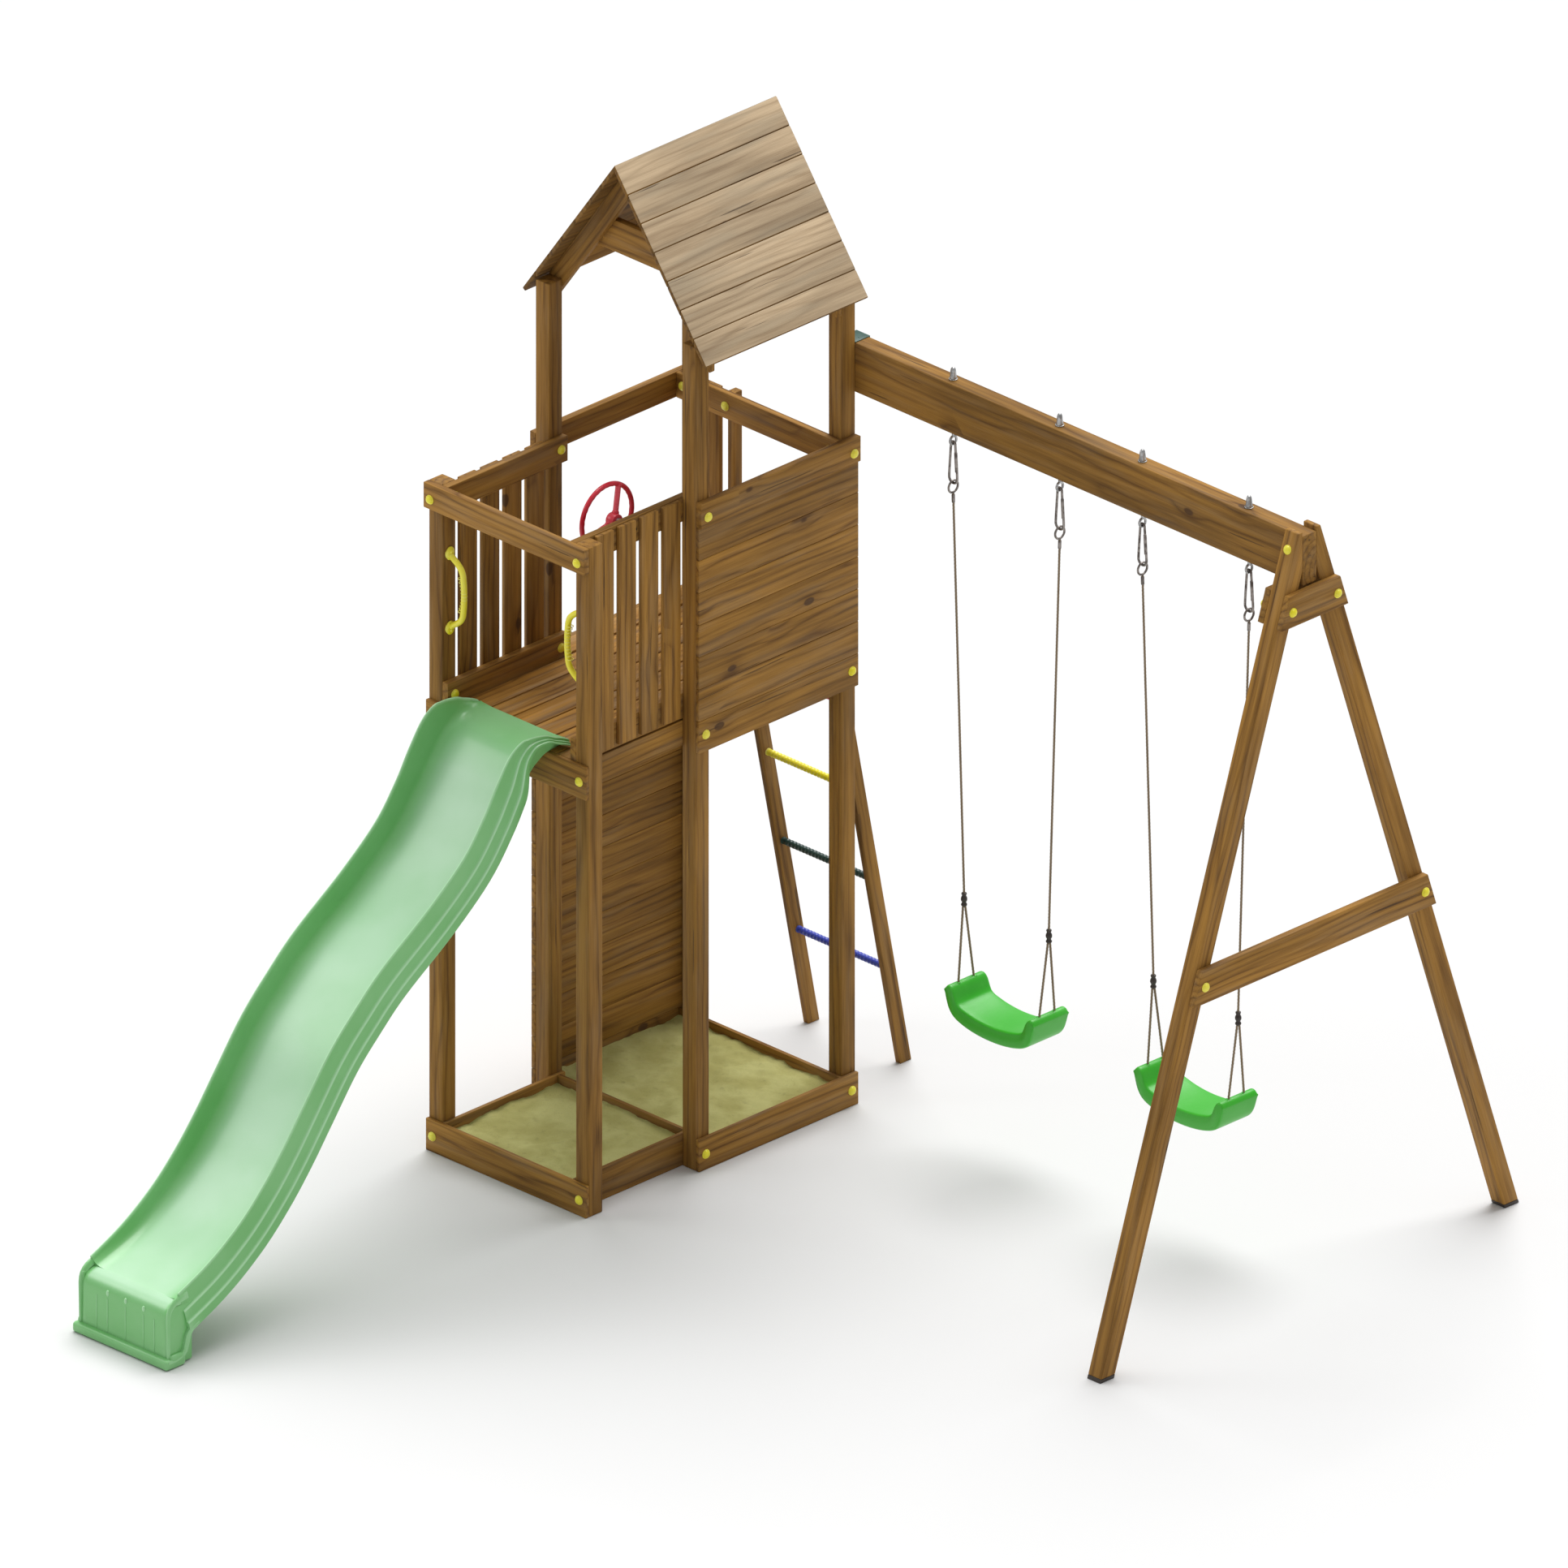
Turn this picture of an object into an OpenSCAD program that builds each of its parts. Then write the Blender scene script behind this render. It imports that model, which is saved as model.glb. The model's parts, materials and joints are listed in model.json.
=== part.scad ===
// Garden swing set: a play tower with balcony, slide, sandbox, climbing wall and
// ladder, and a beam on an A-frame that carries two swings.
// The design frame has X across the tower, Y from the slide to the ladder and Z up.
// Its origin is on the ground, midway between the two front posts. place() then
// moves everything so that the whole object stands centred on its own origin.

/* [Tower] */
// Height of the deck above the ground
deck_h = 1500; // [1200:5:1800]
// Distance between the left and right posts, centre to centre
post_gap = 623; // [540:1:760]
// Balcony depth, post centre to post centre
balcony_d = 452; // [380:1:560]
// Tower depth, post centre to post centre
tower_d = 620; // [520:1:760]
// Side of a square post
post_w = 57; // [50:1:68]
// Height of the guard rails' top above the deck
guard_h = 727; // [650:1:900]

/* [Boards] */
// Height of a rail board
rail_h = 84; // [60:1:110]
// Thickness of a rail board
rail_t = 24; // [18:1:30]
// Thickness of the thin boards: slats, panels and sandbox
board_t = 14; // [12:1:20]
// Height of a sandbox board
sandbox_h = 106; // [80:1:140]
// Level of the sand
sand_h = 82; // [40:1:100]
// Width of a guard slat
slat_w = 72; // [60:0.1:95]
// Gap between two guard slats
slat_gap = 22.4; // [5:0.1:40]
// Distance between the edges of two neighbouring deck boards
deck_pitch = 91.4; // [70:0.1:120]
// Gap between two deck boards
deck_gap = 5.4; // [3:0.1:10]
// Thickness of a deck board
deck_t = 18; // [14:1:24]
// Height of the boards round the edge of the deck
fascia_h = 109; // [90:1:140]

/* [Roof] */
// Height of the ridge above the deck
ridge_rise = 1735; // [1600:1:1900]
// Rise of the roof for each unit of half-span
roof_slope = 1.38; // [1:0.01:1.6]
// Half of the roof's width at the eaves
roof_half = 391; // [360:1:440]
// How far the roof boards reach past the middle of the end posts
roof_overhang = 34; // [30:1:60]
// Number of roof boards on each side
roof_boards = 7; // [5:1:9]

/* [Swing frame] */
// Height of the beam's underside
beam_z = 2364; // [2200:1:2500]
// Height of the beam's section
beam_h = 165; // [140:1:200]
// Thickness of the beam's section
beam_t = 59; // [50:1:70]
// Length of the beam
beam_l = 1955; // [1900:1:2400]
// Distance from the beam's middle to each leg's outer face, on the ground
leg_spread = 889; // [700:1:1000]
// Distance from the beam's middle to each leg's outer face, at the top
leg_top = 47; // [40:1:60]

/* [Swings] */
// Distance from the tower's middle to the first swing's middle
swing_1_x = 952; // [900:1:1000]
// Distance from the tower's middle to the second swing's middle
swing_2_x = 1755; // [1700:1:1800]
// Distance between the two eye bolts of one swing
hang_gap = 452; // [430:1:500]
// Distance between the two rope adjusters of one swing
adjuster_gap = 360; // [330:1:400]
// Distance between the rope holes at the two ends of a seat
seat_hole_gap = 340; // [320:1:360]
// Length of a seat
seat_l = 380; // [370:1:420]
// Depth of a seat, front to back
seat_d = 155; // [130:1:180]
// Height of the seat's underside above the ground
seat_z = 424; // [350:1:500]
// Diameter of the rope
rope_d = 8; // [6:0.5:12]

/* [Slide] */
// Half of the sliding surface's width
slide_half = 178; // [160:1:190]
// Height of the slide's side, from rim to lower edge
slide_side = 145; // [120:1:160]
// Thickness of the slide's bed
slide_t = 6; // [4:0.5:8]

/* [Ladder] */
// Lean of the ladder, run for each unit of height
ladder_lean = 0.203; // [0.15:0.001:0.25]
// Distance between the ladder's two sides, centre to centre
ladder_w = 390; // [340:1:400]
// Diameter of a rung
rung_d = 23; // [20:1:32]
// Distance between two rungs, measured upwards
rung_pitch = 317; // [260:1:330]

/* [Fittings] */
// Diameter of a bolt cap
cap_d = 30; // [26:1:34]
// Diameter of the steering wheel's rim, along the tube's middle
wheel_d = 212; // [180:1:240]
// Diameter of the steering wheel's axle
axle_d = 12; // [10:1:14]
// Diameter of the coach screws' shanks
screw_d = 8; // [6:1:10]

/* [Hidden] */
$fn = 48;
run_gap = 0.06; // radial clearance of a pin in its bore
fit_gap = 0.3; // clearance between pieces of different bodies

post_x = post_gap / 2;
mid_y = balcony_d;
back_y = balcony_d + tower_d;
half_post = post_w / 2;
outer_x = post_x + half_post;
inner_x = post_x - half_post;
front_face = -half_post;
back_face = back_y + half_post;
rail_top = deck_h + guard_h;
rail_z = rail_top - rail_h;
low_rail_z = deck_h - 12;
rail_in = inner_x - rail_t;
fascia_z = deck_h - fascia_h;
joist_h = 84;
joist_z = deck_h - deck_t - joist_h;
wall_t = 18;
panel_z = deck_h - 107;
panel_boards = 7;
slat_z = deck_h;
slat_top = rail_top - 3;

// roof
ridge_z = deck_h + ridge_rise;
roof_angle = atan(roof_slope);
roof_t = board_t / cos(roof_angle);
rafter_drop = 105;
roof_y0 = mid_y - roof_overhang;
roof_y1 = back_y + roof_overhang;
post_top = ridge_z - roof_t - roof_slope * outer_x - 2;
collar_z = ridge_z - 345;
collar_h = 106;
purlin_h = 84;
function roof_under(x) = ridge_z - roof_t - roof_slope * abs(x);

// swing frame
beam_y = back_face + beam_t / 2;
beam_top = beam_z + beam_h;
beam_x0 = inner_x + 0.5;
beam_x1 = beam_x0 + beam_l;
leg_x0 = beam_x1 - post_w;
leg_z1 = beam_top + 14;
pad_h = 12;
leg_angle = atan((leg_spread - leg_top) / leg_z1);
leg_run = post_w / cos(leg_angle);
gusset_z = 2257;
gusset_h = 103;
brace_z = 1131;
brace_h = 109;
function leg_outer(z) = leg_top + (leg_spread - leg_top) * (leg_z1 - z) / leg_z1;
function leg_mid(z) = leg_outer(z) - leg_run / 2;

// swing hardware
wire_r = 4;
eye_r = 13;
eye_z = beam_z - 38;
bar_z = eye_z - eye_r + 2 * wire_r + fit_gap;
hook_l = 138;
hook_r1 = 13;
hook_r2 = 21;
ring_wire = 3.5;
ring_r = 19.5;
ring_z = bar_z - hook_l + wire_r + ring_wire + fit_gap - ring_r;
rope_top = ring_z - ring_r - ring_wire;
bead_r = 9;
bead_step = 15;
adjuster_z = 813;
adjuster_half = bead_step + 7;
rope_gap = 0.6; // between a rope's flat end and its adjuster
seat_end_z = seat_z + 128;
hole_spread = 37;
strand_start = 4.6;
bolt_r = 5;
bolt_up = 40;

// steering wheel
wheel_y = balcony_d / 2;
wheel_z = rail_z + rail_h / 2;
hub_r = 22;
hub_x = rail_in - 68;
hub_t = 30;
rim_x = rail_in - 98;
rim_r = 8;
spoke_turns = [62, 208, 315];

// ladder
ladder_x = 43.5;
stringer_t = 22;
stringer_d = 46;
ladder_foot = back_y + 311;
rung_z0 = 332;
ladder_angle = atan(ladder_lean);
ladder_mid = stringer_d / 2 / cos(ladder_angle);
ladder_top = deck_h;
deck_back = ladder_foot - ladder_lean * deck_h - 0.5;
function ladder_y(z) = ladder_foot + ladder_mid - ladder_lean * z;

// back wall pieces
batten_x = -144.5;
batten_w = 28;
batten_d = 34;
back_slat_x = -inner_x;
back_slat_w = 105;

// coach screws: [x, y, z, outward direction, grip through the board]
// screws that cross in a post are kept apart by a small difference in height
rail_mid = rail_z + rail_h / 2;
high_z = rail_mid + 4;
low_z = rail_mid - 8;
side_rail_screws = [for (s = [-1, 1], y = [0, mid_y], z = [high_z, low_rail_z + rail_h / 2])
    [s * rail_in, y, z, [-s, 0, 0], rail_t]];
front_screws = concat(
    [for (s = [-1, 1]) [s * post_x, front_face - rail_t, low_z, [0, -1, 0], rail_t]],
    [for (s = [-1, 1], z = [sandbox_h / 2, fascia_z + fascia_h / 2])
        [s * post_x, front_face - board_t, z, [0, -1, 0], board_t]]);
back_screws = [for (x = [-post_x, post_x])
    [x, back_y - half_post - rail_t, high_z, [0, -1, 0], rail_t]];
tower_screws = concat(
    [for (s = [-1, 1], y = [mid_y, back_y]) [s * (outer_x + rail_t), y, low_z, [s, 0, 0], rail_t]],
    [for (y = [mid_y, back_y], z = [sandbox_h / 2, panel_z + 57])
        [outer_x + board_t, y, z, [1, 0, 0], board_t]],
    [for (y = [mid_y, back_y], z = [sandbox_h / 2, deck_h - 54])
        [-outer_x - wall_t, y, z, [-1, 0, 0], wall_t]]);
gusset_mid = gusset_z + gusset_h / 2 - 2;
brace_mid = brace_z + brace_h / 2;
frame_screws = concat(
    [for (s = [-1, 1]) [beam_x1 + rail_t, beam_y + s * leg_mid(gusset_mid), gusset_mid, [1, 0, 0], rail_t]],
    [for (s = [-1, 1])
        [leg_x0 - rail_t, beam_y + s * (leg_mid(gusset_mid) + 14), gusset_mid, [-1, 0, 0], rail_t]],
    [for (s = [-1, 1]) [beam_x1 + rail_t, beam_y + s * leg_mid(brace_mid), brace_mid, [1, 0, 0], rail_t]]);
leg_bolt_z = leg_z1 - 55;
leg_screws = [for (s = [-1, 1])
    [leg_x0 + half_post, beam_y + s * leg_outer(leg_bolt_z), leg_bolt_z,
     [0, s * cos(leg_angle), sin(leg_angle)], 20]];
beam_screws = [for (z = [20, 60]) [post_x, beam_y + beam_t / 2, beam_z + z, [0, 1, 0], beam_t]];
batten_screw = [[batten_x + batten_w / 2, back_y - half_post - rail_t, rail_mid, [0, -1, 0], rail_t - 4]];
SCREWS = concat(side_rail_screws, front_screws, back_screws, tower_screws, frame_screws,
    leg_screws, beam_screws, batten_screw);
screw_bite = 36;
head_r = 9;
head_h = 5;
cap_h = 11;

// slide: [y, z, height of the rim above the bed], from the deck to the ground
slide_route = [
    [30, 1520, 0], [-20, 1519, 4], [-55, 1513, 24], [-78, 1505, 48], [-100, 1494, 86], [-125, 1475, 112],
    [-245, 1318, 99], [-345, 1204, 93], [-500, 1082, 92], [-700, 954, 88], [-810, 864, 86],
    [-915, 762, 86], [-1025, 616, 89], [-1110, 511, 86], [-1205, 413, 80], [-1320, 324, 69],
    [-1470, 248, 51], [-1660, 190, 26]];
slide_steps = 4;
slide_front = -1660;
slide_wall = 9;
slide_ledge_1 = 65;
slide_ledge_2 = 107;
slide_foot_h = 35;
slide_foot_d = 23;
slide_lift = deck_h - 1500;

// the whole object's box in the design frame
max_x = beam_x1 + rail_t + cap_h;
min_x = -roof_half;
max_y = beam_y + leg_outer(0);
min_y = slide_front - slide_foot_d;

// ---------- helpers ----------

module place() {
    translate([-(min_x + max_x) / 2, -(min_y + max_y) / 2, 0]) children();
}

// a box from its lowest to its highest corner
module block(a, b) {
    translate(a) cube(b - a);
}

// an outline in Y and Z, extruded along X
module along_x(x0, x1) {
    translate([x0, 0, 0]) rotate([90, 0, 90]) linear_extrude(x1 - x0) children();
}

// an outline in X and Z, extruded along Y
module along_y(y0, y1) {
    translate([0, y1, 0]) rotate([90, 0, 0]) linear_extrude(y1 - y0) children();
}

// turns +Z towards the direction v
module aim(v) {
    rotate([0, acos(v[2] / norm(v)), atan2(v[1], v[0])]) children();
}

// a round bar between two points
module bar(a, b, r) {
    translate(a) aim(b - a) cylinder(h = norm(b - a), r = r);
}

// whether a screw's shank runs through the box from a to b
function within(v, lo, hi) = v >= lo - 1 && v <= hi + 1;
function meets(s, a, b) =
    let (p = [s[0], s[1], s[2]], q = p - s[3] * (s[4] + screw_bite))
    (within(min(p[0], q[0]), a[0] - 60, b[0]) && within(max(p[0], q[0]), a[0], b[0] + 60)
        && within(min(p[1], q[1]), a[1] - 60, b[1]) && within(max(p[1], q[1]), a[1], b[1] + 60)
        && within(p[2], a[2], b[2]));

module screw_bore(s) {
    translate([s[0], s[1], s[2]] + s[3]) aim(-s[3])
        cylinder(h = s[4] + screw_bite + 2, d = screw_d + 2 * run_gap);
}

// a timber with the bores of the screws that pass through its box
module timber(a, b) {
    difference() {
        children();
        for (s = SCREWS) if (meets(s, a, b)) screw_bore(s);
    }
}

// a square-cut board or post, drilled
module plank(a, b) {
    timber(a, b) block(a, b);
}

// ---------- posts ----------

module post(x, y, z1) {
    color("peru") plank([x - half_post, y - half_post, 0], [x + half_post, y + half_post, z1]);
}

module post_front_left() post(-post_x, 0, rail_top);
module post_front_right() post(post_x, 0, rail_top);
module post_mid_left() post(-post_x, mid_y, post_top);
module post_mid_right() post(post_x, mid_y, post_top);
module post_back_left() post(-post_x, back_y, post_top);
module post_back_right() post(post_x, back_y, post_top);

// ---------- sandbox ----------

module sandbox_front_board() {
    color("sienna") plank([-outer_x, front_face - board_t, 0], [outer_x, front_face, sandbox_h]);
}

module sandbox_side_boards() {
    color("sienna") for (s = [-1, 1])
        block([s > 0 ? inner_x - board_t : -inner_x, front_face, 0],
              [s > 0 ? inner_x : board_t - inner_x, mid_y + half_post, sandbox_h]);
}

module sandbox_right_board() {
    color("sienna") plank([outer_x, mid_y - half_post, 0], [outer_x + board_t, back_face, sandbox_h]);
}

module sandbox_back_board() {
    color("sienna") block([-outer_x, back_y - half_post - board_t, 0],
                          [outer_x, back_y - half_post, sandbox_h]);
}

module sandbox_divider() {
    color("sienna") block([board_t - inner_x, mid_y - board_t / 2, 0],
                          [inner_x - board_t, mid_y + board_t / 2, sandbox_h]);
}

module sand_front() {
    color("khaki") block([board_t - inner_x, front_face, 0],
                         [inner_x - board_t, mid_y - board_t / 2, sand_h]);
}

module sand_back() {
    y0 = mid_y + board_t / 2;
    y1 = mid_y + half_post;
    color("khaki") union() {
        block([board_t - inner_x, y0, 0], [inner_x - board_t, y1, sand_h]);
        block([-outer_x, y1, 0], [outer_x, back_y - half_post - board_t, sand_h]);
    }
}

// ---------- deck ----------

module deck_joists() {
    cross_y = [front_face, mid_y - rail_t / 2, mid_y + tower_d / 2 - rail_t / 2, back_y - half_post - rail_t];
    color("sienna") {
        for (s = [-1, 1])
            block([s > 0 ? rail_in : -inner_x, front_face, joist_z],
                  [s > 0 ? inner_x : -rail_in, back_face, joist_z + joist_h]);
        for (y = cross_y)
            block([-rail_in, y, joist_z], [rail_in, y + rail_t, joist_z + joist_h]);
        // the block behind the deck's edge that the ladder leans on
        block([batten_x - 2 * stringer_t, back_y - half_post, joist_z],
              [batten_x, deck_back, joist_z + joist_h]);
        block([ladder_x + ladder_w / 2 - stringer_t, back_y - half_post, joist_z],
              [ladder_x + ladder_w / 2 + stringer_t / 2, deck_back, joist_z + joist_h]);
    }
}

module deck_front_board() {
    color("peru") plank([-outer_x, front_face - board_t, fascia_z], [outer_x, front_face, deck_h]);
}

module deck_boards() {
    first = -rail_in + 7.5;
    z0 = deck_h - deck_t;
    color("burlywood") difference() {
        for (i = [0:ceil((rail_in - first) / deck_pitch) - 1])
            block([first + i * deck_pitch, front_face, z0],
                  [min(first + (i + 1) * deck_pitch - deck_gap, rail_in), deck_back, deck_h]);
        block([batten_x, back_y - half_post, z0 - 1], [batten_x + batten_w, deck_back + 1, deck_h + 1]);
    }
    color("burlywood") for (s = [-1, 1])
        block([s > 0 ? rail_in + 3 : -outer_x, mid_y + half_post, z0],
              [s > 0 ? outer_x : -rail_in - 3, back_y - half_post, deck_h]);
}

// ---------- guard rails ----------

module front_rail() {
    color("peru") plank([-outer_x, front_face - rail_t, rail_z], [outer_x, front_face, rail_top]);
}

module side_rails(s) {
    for (z = [rail_z, low_rail_z])
        plank([s > 0 ? rail_in : -inner_x, front_face, z],
              [s > 0 ? inner_x : -rail_in, mid_y + half_post, z + rail_h]);
}

module left_rails() color("peru") side_rails(-1);

module right_rails() {
    color("peru") difference() {
        side_rails(1);
        translate([rail_in - 1, wheel_y, wheel_z]) rotate([0, 90, 0])
            cylinder(h = rail_t + 2, d = axle_d + 2 * run_gap);
    }
}

module tower_rail(s) {
    plank([s > 0 ? outer_x : -outer_x - rail_t, mid_y - half_post, rail_z],
          [s > 0 ? outer_x + rail_t : -outer_x, back_face, rail_top]);
}

module tower_left_rail() color("peru") tower_rail(-1);
module tower_right_rail() color("peru") tower_rail(1);

module back_rail() {
    color("peru") plank([-outer_x, back_y - half_post - rail_t, rail_z],
                        [outer_x, back_y - half_post, rail_top]);
}

module side_slats(s) {
    room = balcony_d - post_w;
    count = floor((room + slat_gap) / (slat_w + slat_gap));
    margin = (room - count * (slat_w + slat_gap) + slat_gap) / 2;
    for (i = [0:count - 1])
        block([s > 0 ? inner_x : -inner_x - board_t, half_post + margin + i * (slat_w + slat_gap), slat_z],
              [s > 0 ? inner_x + board_t : -inner_x,
               half_post + margin + i * (slat_w + slat_gap) + slat_w, slat_top]);
}

module left_slats() color("peru") side_slats(-1);
module right_slats() color("peru") side_slats(1);

module back_slats() {
    y0 = back_y - half_post;
    color("peru") {
        block([back_slat_x, y0, deck_h], [back_slat_x + back_slat_w, y0 + board_t, slat_top]);
        plank([batten_x, y0, fascia_z], [batten_x + batten_w, y0 + batten_d, slat_top]);
    }
}

module side_panel() {
    step = (rail_z - panel_z) / panel_boards;
    color("peru") for (i = [0:panel_boards - 1])
        plank([outer_x, mid_y - half_post, panel_z + i * step],
              [outer_x + board_t, back_face, panel_z + (i + 1) * step - 0.6]);
}

module climbing_wall() {
    count = 14;
    step = deck_h / count;
    color("sienna") for (i = [0:count - 1])
        plank([-outer_x - wall_t, mid_y - half_post, i * step],
              [-outer_x, back_face, (i + 1) * step - 0.6]);
}

module climbing_holds() {
    holds = [[0.28, 0.16], [0.68, 0.27], [0.36, 0.42], [0.74, 0.53], [0.3, 0.67], [0.66, 0.8]];
    color("crimson") for (h = holds)
        translate([-outer_x - wall_t, mid_y + h[0] * tower_d, h[1] * deck_h])
            rotate([0, -90, 0]) intersection() {
                translate([0, 0, -34]) sphere(r = 62);
                cylinder(h = 32, r = 60);
            }
}

// ---------- roof ----------

// one slope's boards, from the ridge down to the eave
module roof_slope_boards(s) {
    pitch = roof_half / roof_boards;
    gap = 1.2;
    for (i = [0:roof_boards - 1])
        let (x0 = i * pitch + (i > 0 ? gap : 0), x1 = (i + 1) * pitch,
             x2 = x1 - (i == roof_boards - 1 ? board_t * sin(roof_angle) : 0))
        along_y(roof_y0, roof_y1) polygon([
            [s * x0, ridge_z - roof_slope * x0],
            [s * x1, ridge_z - roof_slope * x1],
            [s * x2, roof_under(x2)],
            [s * x0, roof_under(x0)]]);
}

module roof_boards_left() color("tan") roof_slope_boards(-1);
module roof_boards_right() color("tan") roof_slope_boards(1);

module rafters() {
    color("saddlebrown") for (y = [mid_y + half_post, back_y - half_post - rail_t], s = [-1, 1])
        along_y(y, y + rail_t) polygon([
            [0, roof_under(0)],
            [s * outer_x, roof_under(outer_x)],
            [s * outer_x, roof_under(outer_x) - rafter_drop],
            [0, roof_under(0) - rafter_drop]]);
}

// the collars across each pair of rafters, and the two rails between the pairs
module roof_ties() {
    front = mid_y + half_post + rail_t;
    back = back_y - half_post - rail_t;
    wide = (roof_under(0) - collar_z) / roof_slope;
    narrow = (roof_under(0) - collar_z - collar_h) / roof_slope;
    purlin_x = inner_x - 0.5;
    purlin_z = roof_under(purlin_x - rail_t) - purlin_h;
    color("saddlebrown") {
        for (y = [front, back - rail_t])
            along_y(y, y + rail_t) polygon([
                [-wide, collar_z], [wide, collar_z],
                [narrow, collar_z + collar_h], [-narrow, collar_z + collar_h]]);
        for (s = [-1, 1])
            along_y(front, back) polygon([
                [s * purlin_x, purlin_z],
                [s * purlin_x, roof_under(purlin_x)],
                [s * (purlin_x - rail_t), roof_under(purlin_x - rail_t)],
                [s * (purlin_x - rail_t), purlin_z]]);
    }
}

// ---------- swing frame ----------

function hang_x(swing) = [for (s = [-1, 1]) swing + s * hang_gap / 2];
HANGS = concat(hang_x(swing_1_x), hang_x(swing_2_x));

module swing_beam() {
    color("peru") difference() {
        plank([beam_x0, beam_y - beam_t / 2, beam_z], [beam_x1, beam_y + beam_t / 2, beam_top]);
        for (x = HANGS) translate([x, beam_y, beam_z - 1]) cylinder(h = beam_h + 2, r = bolt_r + run_gap);
    }
}

// the steel angle over the beam's end, screwed down behind the tower's post
module beam_bracket() {
    steel = 3;
    length = 58;
    drop = 80;
    color("darkslategray") difference() {
        union() {
            block([beam_x0, beam_y - beam_t / 2, beam_top],
                  [beam_x0 + length, beam_y + beam_t / 2 + steel, beam_top + steel]);
            block([beam_x0, beam_y + beam_t / 2, beam_top - drop],
                  [beam_x0 + length, beam_y + beam_t / 2 + steel, beam_top + steel]);
        }
        for (x = [14, length - 14])
            translate([beam_x0 + x, beam_y, beam_top - 1]) cylinder(h = steel + 2, r = 3.5);
    }
}

// one leg: s is -1 at the front and 1 at the back
module leg(s) {
    color("peru") timber([leg_x0, beam_y - leg_spread, pad_h], [beam_x1, beam_y + leg_spread, leg_z1])
        difference() {
            along_x(leg_x0, beam_x1) polygon([
                [beam_y + s * leg_outer(pad_h), pad_h],
                [beam_y + s * leg_outer(leg_z1), leg_z1],
                [beam_y + s * (leg_outer(leg_z1) - leg_run), leg_z1],
                [beam_y + s * (leg_outer(pad_h) - leg_run), pad_h]]);
            along_x(leg_x0 - 1, beam_x1 + 1) polygon([
                [beam_y + s * beam_t / 2, beam_z - 200], [beam_y + s * beam_t / 2, leg_z1 + 1],
                [beam_y - s * beam_t, leg_z1 + 1], [beam_y - s * beam_t, beam_z - 200]]);
        }
}

module leg_front() leg(-1);
module leg_back() leg(1);

// a board across both legs, its ends cut to the legs' outer faces
module leg_board(x, z, h) {
    timber([x, beam_y - leg_spread, z], [x + rail_t, beam_y + leg_spread, z + h])
        along_x(x, x + rail_t) polygon([
            [beam_y - leg_outer(z), z], [beam_y + leg_outer(z), z],
            [beam_y + leg_outer(z + h), z + h], [beam_y - leg_outer(z + h), z + h]]);
}

module gussets() {
    color("peru") {
        leg_board(beam_x1, gusset_z, gusset_h);
        leg_board(leg_x0 - rail_t, gusset_z, gusset_h);
    }
}

module leg_brace() color("peru") leg_board(beam_x1, brace_z, brace_h);

module leg_pads() {
    color("dimgray") for (s = [-1, 1])
        along_x(leg_x0, beam_x1) polygon([
            [beam_y + s * leg_outer(0), 0], [beam_y + s * leg_outer(pad_h), pad_h],
            [beam_y + s * (leg_outer(pad_h) - leg_run), pad_h],
            [beam_y + s * (leg_outer(0) - leg_run), 0]]);
}

// ---------- ladder ----------

module ladder_sides() {
    color("peru") for (s = [-1, 1])
        let (x = ladder_x + s * ladder_w / 2)
        along_x(x - stringer_t / 2, x + stringer_t / 2) polygon([
            [ladder_y(0) - ladder_mid, 0], [ladder_y(0) + ladder_mid, 0],
            [ladder_y(ladder_top) + ladder_mid, ladder_top],
            [ladder_y(ladder_top) - ladder_mid, ladder_top]]);
}

module rung(i) {
    z = rung_z0 + i * rung_pitch;
    half = (ladder_w - stringer_t) / 2;
    bar([ladder_x - half, ladder_y(z), z], [ladder_x + half, ladder_y(z), z], rung_d / 2);
}

module rung_blue() color("royalblue") rung(0);
module rung_green() color("darkslategray") rung(1);
module rung_yellow() color("gold") rung(2);
module rung_red() color("red") rung(3);

// ---------- slide ----------

// a smooth curve through a, b, c and d, between b and c
function curve(a, b, c, d, t) =
    0.5 * (2 * b + (c - a) * t + (2 * a - 5 * b + 4 * c - d) * t * t + (3 * b - a - 3 * c + d) * t * t * t);
slide_last = len(slide_route) - 1;
slide_line = [for (i = [0:slide_last - 1], k = [0:slide_steps - 1])
    curve(slide_route[max(i - 1, 0)], slide_route[i], slide_route[i + 1],
          slide_route[min(i + 2, slide_last)], k / slide_steps)];
slide_pts = concat(slide_line, [slide_route[slide_last]]);
slide_n = len(slide_pts) - 1;

// the unit normal that points up from the bed at point i
function slide_up(i) =
    let (a = slide_pts[max(i - 1, 0)], b = slide_pts[min(i + 1, slide_n)],
         d = [b[0] - a[0], b[1] - a[1]] / norm([b[0] - a[0], b[1] - a[1]]))
    [d[1], -d[0]];
// the bed's line, moved up by u times the rim's height plus v
function slide_edge(u, v) = [for (i = [0:slide_n])
    [slide_pts[i][0], slide_pts[i][1] + slide_lift] + slide_up(i) * (u * slide_pts[i][2] + v)];
function back_to_front(list) = [for (i = [len(list) - 1:-1:0]) list[i]];

// the strip between two edges, in the side view
module slide_strip(top, bottom) {
    polygon(concat(top, back_to_front(bottom)));
}

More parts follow.
